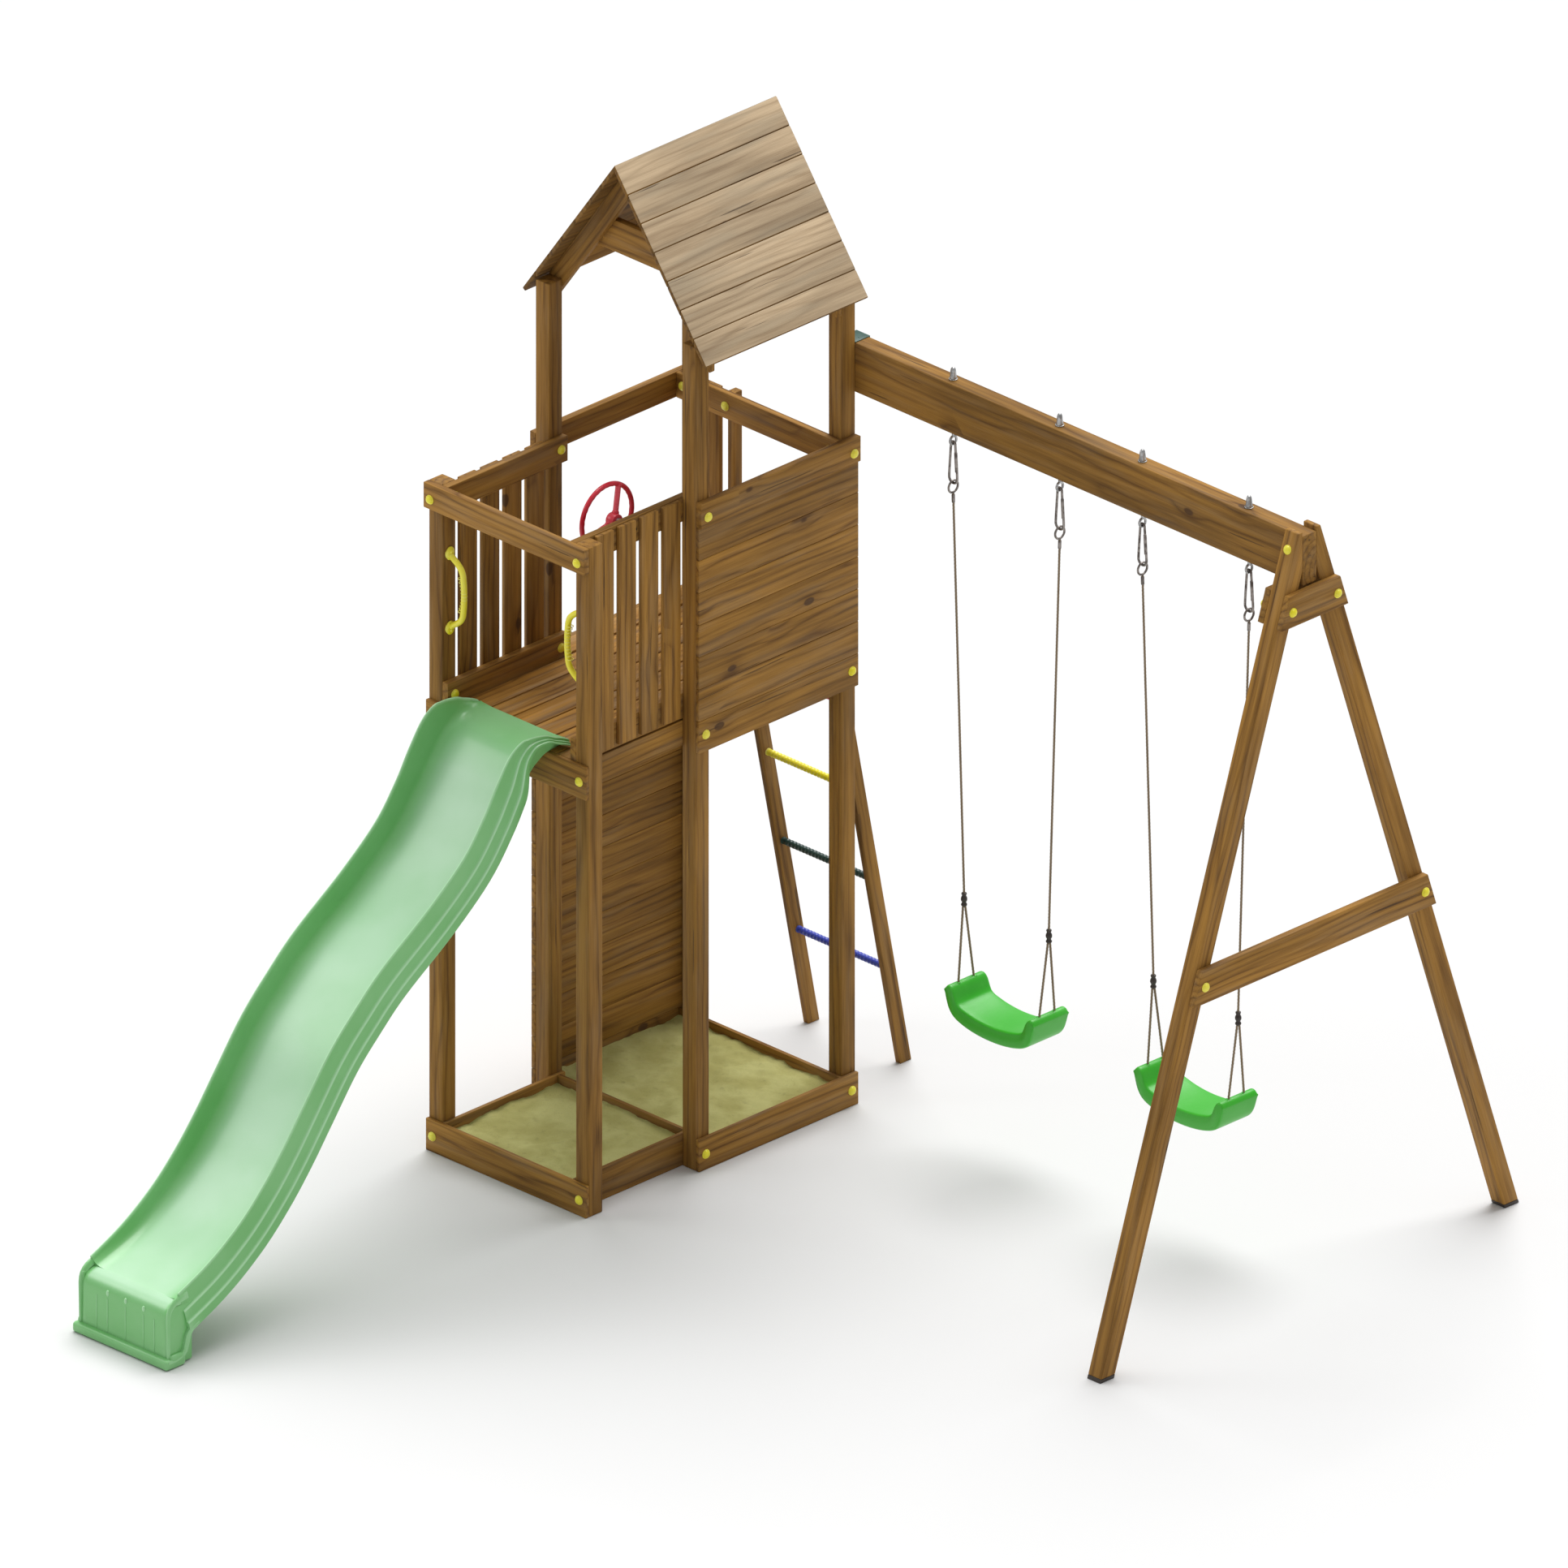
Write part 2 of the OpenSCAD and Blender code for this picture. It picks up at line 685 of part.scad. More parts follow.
module slide() {
    bed = slide_edge(0, 0);
    under = slide_edge(0, -slide_t);
    rim = slide_edge(1, 0);
    low = slide_edge(1, -slide_side);
    outer = slide_half + slide_wall;
    color("mediumseagreen") difference() {
        union() {
            along_x(-slide_half - 1, slide_half + 1) slide_strip(bed, under);
            for (s = [0, 1]) mirror([s, 0, 0]) {
                along_x(slide_half, outer) slide_strip(rim, low);
                along_x(outer - 3, outer + 5) slide_strip(slide_edge(1, -slide_ledge_1), low);
                along_x(outer, outer + 12) slide_strip(slide_edge(1, -slide_ledge_2), low);
                block([slide_half, slide_front, 0], [outer + 5, slide_front + 66, 140]);
            }
            // the vertical end and its flanged foot
            block([-slide_half - 1, slide_front, 0], [slide_half + 1, slide_front + slide_t, 190]);
            block([-outer - 12, slide_front - slide_foot_d, 0], [outer + 12, slide_front + slide_t, slide_foot_h]);
            // the lip that lies on the deck
            block([-outer - 12, front_face - board_t, deck_h], [outer + 12, 30, deck_h + 20]);
        }
        // clear of the deck and of its front board
        block([-outer - 20, front_face - board_t - fit_gap, -1], [outer + 20, 400, deck_h]);
    }
}

// ---------- fittings ----------

// a bowed grab handle with a foot at each end, on a face that looks along s * X
module grab_handle(s) {
    half = 147;
    reach = 62;
    bend = 34;
    grip = 10;
    for (k = [-1, 1]) {
        translate([0, 0, k * (half - 22)]) rotate([0, s * 90, 0]) cylinder(h = 12, r = 20);
        bar([s * 8, 0, k * (half - 22)], [s * reach, 0, k * (half - 22 - bend)], grip);
        translate([s * reach, 0, k * (half - 22 - bend)]) sphere(r = grip);
    }
    bar([s * reach, 0, -half + 22 + bend], [s * reach, 0, half - 22 - bend], grip);
}

handle_z = deck_h + 368;
module grab_handles() {
    color("gold") {
        translate([-inner_x, 0, handle_z]) grab_handle(1);
        translate([inner_x, 0, handle_z]) grab_handle(-1);
    }
}

module wheel_axle() {
    color("silver") {
        translate([hub_x - hub_t / 2 - 1, wheel_y, wheel_z]) rotate([0, 90, 0])
            cylinder(h = inner_x - hub_x + hub_t / 2 + 1, d = axle_d);
        translate([hub_x - hub_t / 2 - 7, wheel_y, wheel_z]) rotate([0, 90, 0])
            cylinder(h = 7 - fit_gap, r = axle_d);
        translate([hub_x + hub_t / 2 + fit_gap, wheel_y, wheel_z]) rotate([0, 90, 0])
            cylinder(h = rail_in - hub_x - hub_t / 2 - fit_gap, r = axle_d);
    }
}

module steering_wheel() {
    color("crimson") difference() {
        union() {
            translate([rim_x, wheel_y, wheel_z]) rotate([0, 90, 0])
                rotate_extrude() translate([wheel_d / 2, 0]) circle(r = rim_r);
            translate([hub_x - hub_t / 2, wheel_y, wheel_z]) rotate([0, 90, 0])
                cylinder(h = hub_t, r = hub_r);
            for (a = spoke_turns)
                bar([hub_x - 2, wheel_y + 12 * cos(a), wheel_z + 12 * sin(a)],
                    [rim_x, wheel_y + wheel_d / 2 * cos(a), wheel_z + wheel_d / 2 * sin(a)], rim_r + 1);
        }
        translate([hub_x - hub_t, wheel_y, wheel_z]) rotate([0, 90, 0])
            cylinder(h = 2 * hub_t, d = axle_d + 2 * run_gap);
        translate([hub_x - hub_t / 2 - 30, wheel_y, wheel_z]) rotate([0, 90, 0])
            cylinder(h = 30, r = axle_d + 1);
    }
}

// one coach screw: a shank in the timber and a round head on it
module coach_screw(s) {
    translate([s[0], s[1], s[2]]) aim(s[3]) {
        cylinder(h = head_h, r = head_r);
        translate([0, 0, -s[4] - screw_bite]) cylinder(h = s[4] + screw_bite + 1, d = screw_d);
    }
}

module coach_screws() color("silver") for (s = SCREWS) coach_screw(s);

// a domed cap that snaps over a screw's head
module screw_cap(s) {
    dome = (pow(cap_d / 2, 2) + pow(cap_h, 2)) / (2 * cap_h);
    translate([s[0], s[1], s[2]]) aim(s[3]) difference() {
        intersection() {
            translate([0, 0, cap_h - dome]) sphere(r = dome);
            cylinder(h = cap_h + 1, r = cap_d);
        }
        translate([0, 0, -1]) cylinder(h = head_h + 1 + fit_gap, r = head_r + fit_gap);
    }
}

module screw_caps() color("yellow") for (s = SCREWS) screw_cap(s);

// an eye bolt hung through the beam, with a washer and a domed nut on top
module eye_bolt(x) {
    translate([x, beam_y, eye_z]) {
        rotate([0, 90, 0]) rotate_extrude() translate([eye_r, 0]) circle(r = wire_r);
        translate([0, 0, eye_r]) cylinder(h = beam_top + bolt_up - 10 - eye_z - eye_r, r = bolt_r);
        translate([0, 0, beam_top - eye_z]) cylinder(h = 3, r = 14);
        translate([0, 0, beam_top - eye_z + 3]) cylinder(h = bolt_up - 12, r1 = 11.5, r2 = 8.5);
        translate([0, 0, beam_top - eye_z + bolt_up - 9]) sphere(r = 8.5);
        translate([0, 0, beam_z - eye_z - 5]) cylinder(h = 5, r = 12);
    }
}

module eye_bolts() color("silver") for (x = HANGS) eye_bolt(x);

// ---------- swings ----------

// a pear-shaped snap hook, its top bar at the origin and its plane across Y
module snap_hook() {
    r1 = hook_r1 - wire_r;
    r2 = hook_r2 - wire_r;
    z1 = -r1;
    z2 = r2 - hook_l;
    lean = asin((r2 - r1) / (z1 - z2));
    inset = 1; // each piece of wire ends this far inside the collar that joins it to the next
    cut1 = inset / r1 * 180 / PI;
    cut2 = inset / r2 * 180 / PI;
    rotate([90, 0, 0]) {
        translate([0, z1]) rotate([0, 0, -lean + cut1])
            rotate_extrude(angle = 180 + 2 * (lean - cut1)) translate([r1, 0]) circle(r = wire_r);
        translate([0, z2]) rotate([0, 0, 180 + lean + cut2])
            rotate_extrude(angle = 180 - 2 * (lean + cut2)) translate([r2, 0]) circle(r = wire_r);
        for (s = [-1, 1])
            let (a = [s * r1 * cos(lean), z1 - r1 * sin(lean), 0],
                 b = [s * r2 * cos(lean), z2 - r2 * sin(lean), 0],
                 d = (b - a) / norm(b - a) * inset) {
            bar(a + d, b - d, wire_r);
            for (p = [a, b]) translate(p) sphere(r = wire_r + 0.6);
        }
    }
}

module hooks(swing) {
    color("dimgray") for (x = hang_x(swing)) {
        translate([x, beam_y, bar_z]) snap_hook();
        translate([x, beam_y, ring_z]) rotate([0, 90, 0])
            rotate_extrude() translate([ring_r, 0]) circle(r = ring_wire);
    }
}

// the two ends of the long rope on side s, and the foot of a strand
function rope_head(swing, s) = [swing + s * hang_gap / 2, beam_y, rope_top];
function rope_foot(swing, s) = [swing + s * adjuster_gap / 2, beam_y, adjuster_z + adjuster_half + rope_gap];
function strand_head(swing, s, k) =
    [swing + s * adjuster_gap / 2, beam_y + k * strand_start, adjuster_z - adjuster_half - rope_gap];
function strand_foot(swing, s, k) = [swing + s * seat_hole_gap / 2, beam_y + k * hole_spread, seat_end_z - 40];

module ropes(swing) {
    color("tan") for (s = [-1, 1]) {
        bar(rope_head(swing, s), rope_foot(swing, s), rope_d / 2);
        for (k = [-1, 1]) bar(strand_head(swing, s, k), strand_foot(swing, s, k), rope_d / 2);
    }
}

module adjusters(swing) {
    color("black") for (s = [-1, 1])
        translate([swing + s * adjuster_gap / 2, beam_y, adjuster_z]) intersection() {
            union() {
                for (i = [-1:1]) translate([0, 0, i * bead_step]) sphere(r = bead_r);
                translate([0, 0, -bead_step]) cylinder(h = 2 * bead_step, r = bead_r - 2);
                for (k = [-1, 1]) translate([0, 0, k * bead_step * 1.2 - 4]) cylinder(h = 8, r = bead_r - 0.5);
            }
            translate([0, 0, -adjuster_half]) cylinder(h = 2 * adjuster_half, r = 2 * bead_r);
        }
}

// the seat's side view: a sagging plank with a raised roll at each end
module seat_outline() {
    half = seat_l / 2;
    roll_z = seat_end_z - seat_z;
    steps = 10;
    sag = [for (i = [-steps:steps]) [i / steps * (half - 52), 53 + 21 * pow(i / steps, 2)]];
    belly = [for (i = [steps:-1:-steps]) [i / steps * (half - 40), 28 * pow(i / steps, 2)]];
    translate([0, seat_z]) polygon(concat(
        [[-half, roll_z - 16], [-half + 10, roll_z - 2], [-half + 24, roll_z], [-half + 36, roll_z - 12]],
        sag,
        [[half - 36, roll_z - 12], [half - 24, roll_z], [half - 10, roll_z - 2], [half, roll_z - 16],
         [half - 18, 54]],
        belly,
        [[-half + 18, 54]]));
}

module seat(swing) {
    color("limegreen") difference() {
        translate([swing, 0, 0]) along_y(beam_y - seat_d / 2, beam_y + seat_d / 2) seat_outline();
        for (s = [-1, 1], k = [-1, 1])
            let (a = strand_head(swing, s, k), b = strand_foot(swing, s, k))
            bar(a, b + (b - a) / norm(b - a) * 0.3, rope_d / 2 + fit_gap);
    }
}

module swing_1_hooks() hooks(swing_1_x);
module swing_1_ropes() ropes(swing_1_x);
module swing_1_adjusters() adjusters(swing_1_x);
module swing_1_seat() seat(swing_1_x);
module swing_2_hooks() hooks(swing_2_x);
module swing_2_ropes() ropes(swing_2_x);
module swing_2_adjusters() adjusters(swing_2_x);
module swing_2_seat() seat(swing_2_x);

place() post_front_left();
place() post_front_right();
place() post_mid_left();
place() post_mid_right();
place() post_back_left();
place() post_back_right();
place() sandbox_front_board();
place() sandbox_side_boards();
place() sandbox_right_board();
place() sandbox_back_board();
place() sandbox_divider();
place() sand_front();
place() sand_back();
place() deck_joists();
place() deck_front_board();
place() deck_boards();
place() front_rail();
place() left_rails();
place() right_rails();
place() tower_left_rail();
place() tower_right_rail();
place() back_rail();
place() left_slats();
place() right_slats();
place() back_slats();
place() side_panel();
place() climbing_wall();
place() climbing_holds();
place() roof_boards_left();
place() roof_boards_right();
place() rafters();
place() roof_ties();
place() swing_beam();
place() beam_bracket();
place() leg_front();
place() leg_back();
place() gussets();
place() leg_brace();
place() leg_pads();
place() ladder_sides();
place() rung_blue();
place() rung_green();
place() rung_yellow();
place() rung_red();
place() slide();
place() grab_handles();
place() wheel_axle();
place() steering_wheel();
place() coach_screws();
place() screw_caps();
place() eye_bolts();
place() swing_1_hooks();
place() swing_1_ropes();
place() swing_1_adjusters();
place() swing_1_seat();
place() swing_2_hooks();
place() swing_2_ropes();
place() swing_2_adjusters();
place() swing_2_seat();
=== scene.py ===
import json
import math
import random

import bpy
from mathutils import Euler, Matrix, Vector, noise


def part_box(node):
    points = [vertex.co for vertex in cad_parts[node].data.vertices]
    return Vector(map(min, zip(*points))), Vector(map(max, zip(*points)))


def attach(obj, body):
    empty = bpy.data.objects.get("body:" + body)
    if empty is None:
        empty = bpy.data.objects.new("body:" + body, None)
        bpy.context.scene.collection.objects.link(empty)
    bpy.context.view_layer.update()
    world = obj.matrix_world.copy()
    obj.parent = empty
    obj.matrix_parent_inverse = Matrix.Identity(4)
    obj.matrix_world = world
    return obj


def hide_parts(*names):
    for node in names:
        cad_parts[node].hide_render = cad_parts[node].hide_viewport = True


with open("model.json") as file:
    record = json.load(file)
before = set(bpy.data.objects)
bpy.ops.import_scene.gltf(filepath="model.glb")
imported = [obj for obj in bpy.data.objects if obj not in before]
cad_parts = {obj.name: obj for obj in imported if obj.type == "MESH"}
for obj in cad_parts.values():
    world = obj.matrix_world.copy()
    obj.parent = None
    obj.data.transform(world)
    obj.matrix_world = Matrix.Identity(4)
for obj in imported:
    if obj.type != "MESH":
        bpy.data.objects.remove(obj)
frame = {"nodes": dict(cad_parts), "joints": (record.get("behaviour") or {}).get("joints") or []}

bl_info = {
    "name": "Garden swing set",
    "version": (1, 0, 0),
    "blender": (4, 5, 0),
    "location": "View3D > Sidebar > Swing set",
    "description": "Builds a timber play tower with slide and swings around its packed frame",
    "category": "Add Mesh",
}

MM = 0.001
POST_FRONT_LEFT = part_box("post_front_left")
POST_FRONT_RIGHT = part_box("post_front_right")
# the middle between the two front posts, on the ground
ORIGIN = (POST_FRONT_LEFT[0] + POST_FRONT_RIGHT[1]) / 2
ORIGIN.z = 0.0
HINGES = {j["child"]: Vector(j["pos_m"]) for j in frame["joints"]}


def at(x, y, z):
    """A point given in millimetres from the middle between the front posts."""
    return ORIGIN + Vector((x, y, z)) * MM


# ---------- selecting and finishing ----------

def clear():
    bpy.ops.object.select_all(action="DESELECT")


def only(obj):
    clear()
    obj.select_set(True)
    bpy.context.view_layer.objects.active = obj
    return obj


def active(name=None):
    obj = bpy.context.active_object
    if name:
        obj.name = name
        obj.data.name = name
    return obj


def settle(obj):
    """Puts the object's place into its mesh."""
    only(obj)
    bpy.ops.object.transform_apply(location=True, rotation=True, scale=True)
    return obj


def apply_modifier(obj, kind, **values):
    only(obj)
    modifier = obj.modifiers.new(kind.title(), kind)
    for key, value in values.items():
        setattr(modifier, key, value)
    bpy.ops.object.modifier_apply(modifier=modifier.name)
    return obj


def bevel(obj, width, segments=2, angle=30):
    return apply_modifier(obj, "BEVEL", width=width, segments=segments, limit_method="ANGLE",
                          angle_limit=math.radians(angle), use_clamp_overlap=True)


def smooth(obj, angle=35):
    only(obj)
    bpy.ops.object.shade_smooth_by_angle(angle=math.radians(angle))
    return obj


def outwards(obj):
    only(obj)
    bpy.ops.object.mode_set(mode="EDIT")
    bpy.ops.mesh.select_all(action="SELECT")
    bpy.ops.mesh.remove_doubles(threshold=1e-6)
    bpy.ops.mesh.normals_make_consistent(inside=False)
    bpy.ops.object.mode_set(mode="OBJECT")
    return obj


def join(parts, name):
    clear()
    for part in parts:
        part.select_set(True)
    bpy.context.view_layer.objects.active = parts[0]
    if len(parts) > 1:
        bpy.ops.object.join()
    return active(name)


def dress(obj, material):
    obj.data.materials.clear()
    obj.data.materials.append(material)
    return obj


def fit(obj, body, slot, *nodes):
    """Makes the finished piece ride on its body in place of its nodes."""
    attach(obj, body)
    if nodes:
        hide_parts(*nodes)
    return obj


# ---------- primitives ----------

def box(lo, hi):
    clear()
    bpy.ops.mesh.primitive_cube_add(size=1, location=(lo + hi) / 2)
    obj = active()
    obj.scale = hi - lo
    return settle(obj)


def rod(a, b, radius, sides=24, end_bevel=0.0):
    clear()
    way = b - a
    bpy.ops.mesh.primitive_cylinder_add(vertices=sides, radius=radius, depth=way.length,
                                        location=(a + b) / 2,
                                        rotation=way.to_track_quat("Z", "X").to_euler())
    obj = settle(active())
    if end_bevel:
        bevel(obj, end_bevel, 2, 50)
    return obj


def ring(centre, turn, major, minor, around=48, sides=14):
    clear()
    bpy.ops.mesh.primitive_torus_add(location=centre, rotation=turn, major_radius=major, minor_radius=minor,
                                     major_segments=around, minor_segments=sides)
    return settle(active())


def ball(centre, radius, scale=(1, 1, 1), segments=24, rings=14):
    clear()
    bpy.ops.mesh.primitive_uv_sphere_add(segments=segments, ring_count=rings, radius=radius, location=centre)
    obj = active()
    obj.scale = scale
    return settle(obj)


def turned(profile, centre, way, steps=28):
    """Spins an outline of (radius, height) pairs round the direction way."""
    clear()
    bpy.ops.mesh.primitive_plane_add(size=1, location=(0, 0, 0))
    obj = active()
    only(obj)
    bpy.ops.object.mode_set(mode="EDIT")
    bpy.ops.mesh.select_all(action="SELECT")
    bpy.ops.mesh.delete(type="VERT")
    bpy.ops.object.mode_set(mode="OBJECT")
    mesh = obj.data
    mesh.vertices.add(len(profile))
    for vertex, (radius, height) in zip(mesh.vertices, profile):
        vertex.co = (radius, 0, height)
    mesh.edges.add(len(profile) - 1)
    for i, edge in enumerate(mesh.edges):
        edge.vertices = (i, i + 1)
    mesh.update()
    bpy.ops.object.mode_set(mode="EDIT")
    bpy.ops.mesh.select_all(action="SELECT")
    bpy.ops.mesh.spin(steps=steps, angle=math.tau, center=(0, 0, 0), axis=(0, 0, 1))
    bpy.ops.mesh.select_all(action="SELECT")
    bpy.ops.mesh.remove_doubles(threshold=1e-6)
    bpy.ops.mesh.normals_make_consistent(inside=False)
    bpy.ops.object.mode_set(mode="OBJECT")
    obj.matrix_world = Matrix.Translation(centre) @ way.to_track_quat("Z", "X").to_matrix().to_4x4()
    return settle(obj)


def tube_through(points, radius, name, resolution=6):
    """A smooth bar through the points, made a mesh."""
    curve = bpy.data.curves.new(name, "CURVE")
    curve.dimensions = "3D"
    curve.bevel_depth = radius
    curve.bevel_resolution = resolution
    curve.use_fill_caps = True
    curve.resolution_u = 8
    spline = curve.splines.new("BEZIER")
    spline.bezier_points.add(len(points) - 1)
    for knot, point in zip(spline.bezier_points, points):
        knot.co = point
        knot.handle_left_type = knot.handle_right_type = "AUTO"
    obj = bpy.data.objects.new(name, curve)
    bpy.context.scene.collection.objects.link(obj)
    only(obj)
    bpy.ops.object.convert(target="MESH")
    return outwards(active())


def grid_surface(name, rows, closed=False):
    """A mesh whose vertices are the given rows of points; closed joins each row's ends."""
    count = len(rows[0])
    wide = count + 1 if closed else count
    clear()
    bpy.ops.mesh.primitive_grid_add(x_subdivisions=wide - 1, y_subdivisions=len(rows) - 1, size=1)
    obj = active(name)
    for j, row in enumerate(rows):
        for i in range(wide):
            obj.data.vertices[j * wide + i].co = row[i % count]
    obj.data.update()
    return obj


def cap_ends(obj):
    """Fills the open ends of a tube and turns its faces outwards."""
    only(obj)
    bpy.ops.object.mode_set(mode="EDIT")
    bpy.ops.mesh.select_all(action="SELECT")
    bpy.ops.mesh.remove_doubles(threshold=1e-6)
    bpy.ops.mesh.select_all(action="DESELECT")
    bpy.ops.mesh.select_non_manifold(extend=False)
    bpy.ops.mesh.edge_face_add()
    bpy.ops.mesh.select_all(action="SELECT")
    bpy.ops.mesh.normals_make_consistent(inside=False)
    bpy.ops.object.mode_set(mode="OBJECT")
    return obj


# ---------- shader building ----------

class Net:
    """Adds and links nodes in one node tree."""

    def __init__(self, tree):
        self.tree = tree

    def add(self, kind, settings=None, **inputs):
        node = self.tree.nodes.new(kind)
        for key, value in (settings or {}).items():
            setattr(node, key, value)
        for key, value in inputs.items():
            self.put(node.inputs[key.replace("_", " ")], value)
        return node

    def put(self, socket, value):
        if isinstance(value, bpy.types.NodeSocket):
            self.tree.links.new(value, socket)
        else:
            socket.default_value = value

    def math(self, operation, *values, clamp=False):
        node = self.tree.nodes.new("ShaderNodeMath")
        node.operation = operation
        node.use_clamp = clamp
        for socket, value in zip(node.inputs, values):
            self.put(socket, value)
        return node.outputs[0]

    def vector(self, operation, a, b):
        node = self.tree.nodes.new("ShaderNodeVectorMath")
        node.operation = operation
        self.put(node.inputs[0], a)
        self.put(node.inputs[1], b)
        return node.outputs[0]

    def mix(self, factor, a, b, blend="MIX"):
        node = self.tree.nodes.new("ShaderNodeMix")
        node.data_type = "RGBA"
        node.blend_type = blend
        self.put(node.inputs[0], factor)
        self.put(node.inputs[6], a)
        self.put(node.inputs[7], b)
        return node.outputs[2]

    def noise(self, where, scale, detail=2.0, rough=0.5):
        node = self.add("ShaderNodeTexNoise", None, Vector=where, Scale=scale, Detail=detail, Roughness=rough)
        return node.outputs["Fac"]

    def span(self, value, low, high, to_low=0.0, to_high=1.0):
        node = self.tree.nodes.new("ShaderNodeMapRange")
        node.interpolation_type = "SMOOTHSTEP"
        for socket, number in zip(node.inputs, (value, low, high, to_low, to_high)):
            self.put(socket, number)
        return node.outputs[0]


def new_group(name, inputs, outputs):
    """An empty node group: its net, its inputs by name and its output node."""
    tree = bpy.data.node_groups.new(name, "ShaderNodeTree")
    kinds = {"c": "NodeSocketColor", "f": "NodeSocketFloat", "v": "NodeSocketVector"}
    for label, kind, default in inputs:
        socket = tree.interface.new_socket(label, in_out="INPUT", socket_type=kinds[kind])
        if default is not None:
            socket.default_value = default
    for label, kind in outputs:
        tree.interface.new_socket(label, in_out="OUTPUT", socket_type=kinds[kind])
    net = Net(tree)
    entry = tree.nodes.new("NodeGroupInput")
    leave = tree.nodes.new("NodeGroupOutput")
    return tree, net, entry.outputs, leave.inputs


def sawn_timber_group():
    """Growth rings, fibres and knots of a board, from its own grain coordinates."""
    tree, net, into, out = new_group(
        "Sawn timber",
        [("Grain", "v", None), ("Tone", "f", 0.5), ("Early wood", "c", (0.4, 0.25, 0.12, 1)),
         ("Late wood", "c", (0.2, 0.11, 0.04, 1)), ("Weather", "f", 0.2)],
        [("Color", "c"), ("Rough", "f"), ("Height", "f")])
    grain = into["Grain"]
    wander = net.noise(net.vector("MULTIPLY", grain, (1.6, 7.0, 7.0)), 1.0, 2.0)
    knot_cells = net.add("ShaderNodeTexVoronoi", None, Vector=net.vector("MULTIPLY", grain, (5.0, 9.0, 9.0)),
                         Scale=1.0)
    chosen = net.add("ShaderNodeSeparateColor", None, Color=knot_cells.outputs["Color"])
    picked = net.span(chosen.outputs[0], 0.72, 0.76)
    near = knot_cells.outputs["Distance"]
    knot = net.math("MULTIPLY", net.span(near, 0.13, 0.09), picked)
    halo = net.math("MULTIPLY", net.span(near, 0.5, 0.05), picked)
    parts = net.add("ShaderNodeSeparateXYZ", None, Vector=grain)
    across = net.math("SQRT", net.math("ADD", net.math("POWER", parts.outputs[1], 2.0),
                                       net.math("POWER", parts.outputs[2], 2.0)))
    radius = net.math("ADD", across, net.math("MULTIPLY", wander, 0.055))
    radius = net.math("ADD", radius, net.math("MULTIPLY", halo, 0.012))
    ring_phase = net.math("PINGPONG", net.math("MULTIPLY", radius, 90.0), 1.0)
    late = net.math("POWER", ring_phase, 3.0)
    fibre = net.noise(net.vector("MULTIPLY", grain, (9.0, 420.0, 420.0)), 1.0, 3.0, 0.6)
    streak = net.noise(net.vector("MULTIPLY", grain, (2.0, 60.0, 60.0)), 1.0, 3.0, 0.55)
    blotch = net.noise(net.vector("MULTIPLY", grain, (1.5, 5.0, 5.0)), 1.0, 2.0)
    blend = net.math("ADD", net.math("MULTIPLY", late, 0.5), net.span(streak, 0.32, 0.68, 0.0, 0.5))
    blend = net.math("ADD", blend, net.math("MULTIPLY", net.math("SUBTRACT", fibre, 0.5), 0.8))
    blend = net.math("ADD", blend, net.math("MULTIPLY", halo, 0.25), clamp=True)
    color = net.mix(blend, into["Early wood"], into["Late wood"])
    shade = net.math("ADD", net.span(blotch, 0.3, 0.7, 0.82, 1.16), net.math("MULTIPLY", into["Tone"], 0.3))
    shade = net.math("SUBTRACT", shade, 0.15)
    color = net.mix(1.0, color, net.add("ShaderNodeCombineColor", None, Red=shade, Green=shade,
                                        Blue=shade).outputs[0], "MULTIPLY")
    grey = net.span(net.noise(net.vector("MULTIPLY", grain, (3.0, 25.0, 25.0)), 1.0, 3.0), 0.45, 0.7)
    color = net.mix(net.math("MULTIPLY", grey, into["Weather"]), color, (0.36, 0.30, 0.21, 1))
    check = net.span(net.noise(net.vector("MULTIPLY", grain, (2.5, 95.0, 95.0)), 1.0, 2.0, 0.4), 0.70, 0.74)
    color = net.mix(net.math("MULTIPLY", check, 0.65), color, (0.045, 0.022, 0.008, 1))
    color = net.mix(net.math("MULTIPLY", knot, 0.8), color, (0.06, 0.026, 0.009, 1))
    net.put(out["Color"], color)
    net.put(out["Rough"], net.math("ADD", 0.58, net.math("MULTIPLY", fibre, 0.25)))
    height = net.math("SUBTRACT", net.math("MULTIPLY", fibre, 0.8), net.math("MULTIPLY", late, 0.25))
    height = net.math("SUBTRACT", height, net.math("MULTIPLY", check, 1.5))
    net.put(out["Height"], net.math("ADD", height, net.math("MULTIPLY", knot, 0.4)))
    return tree


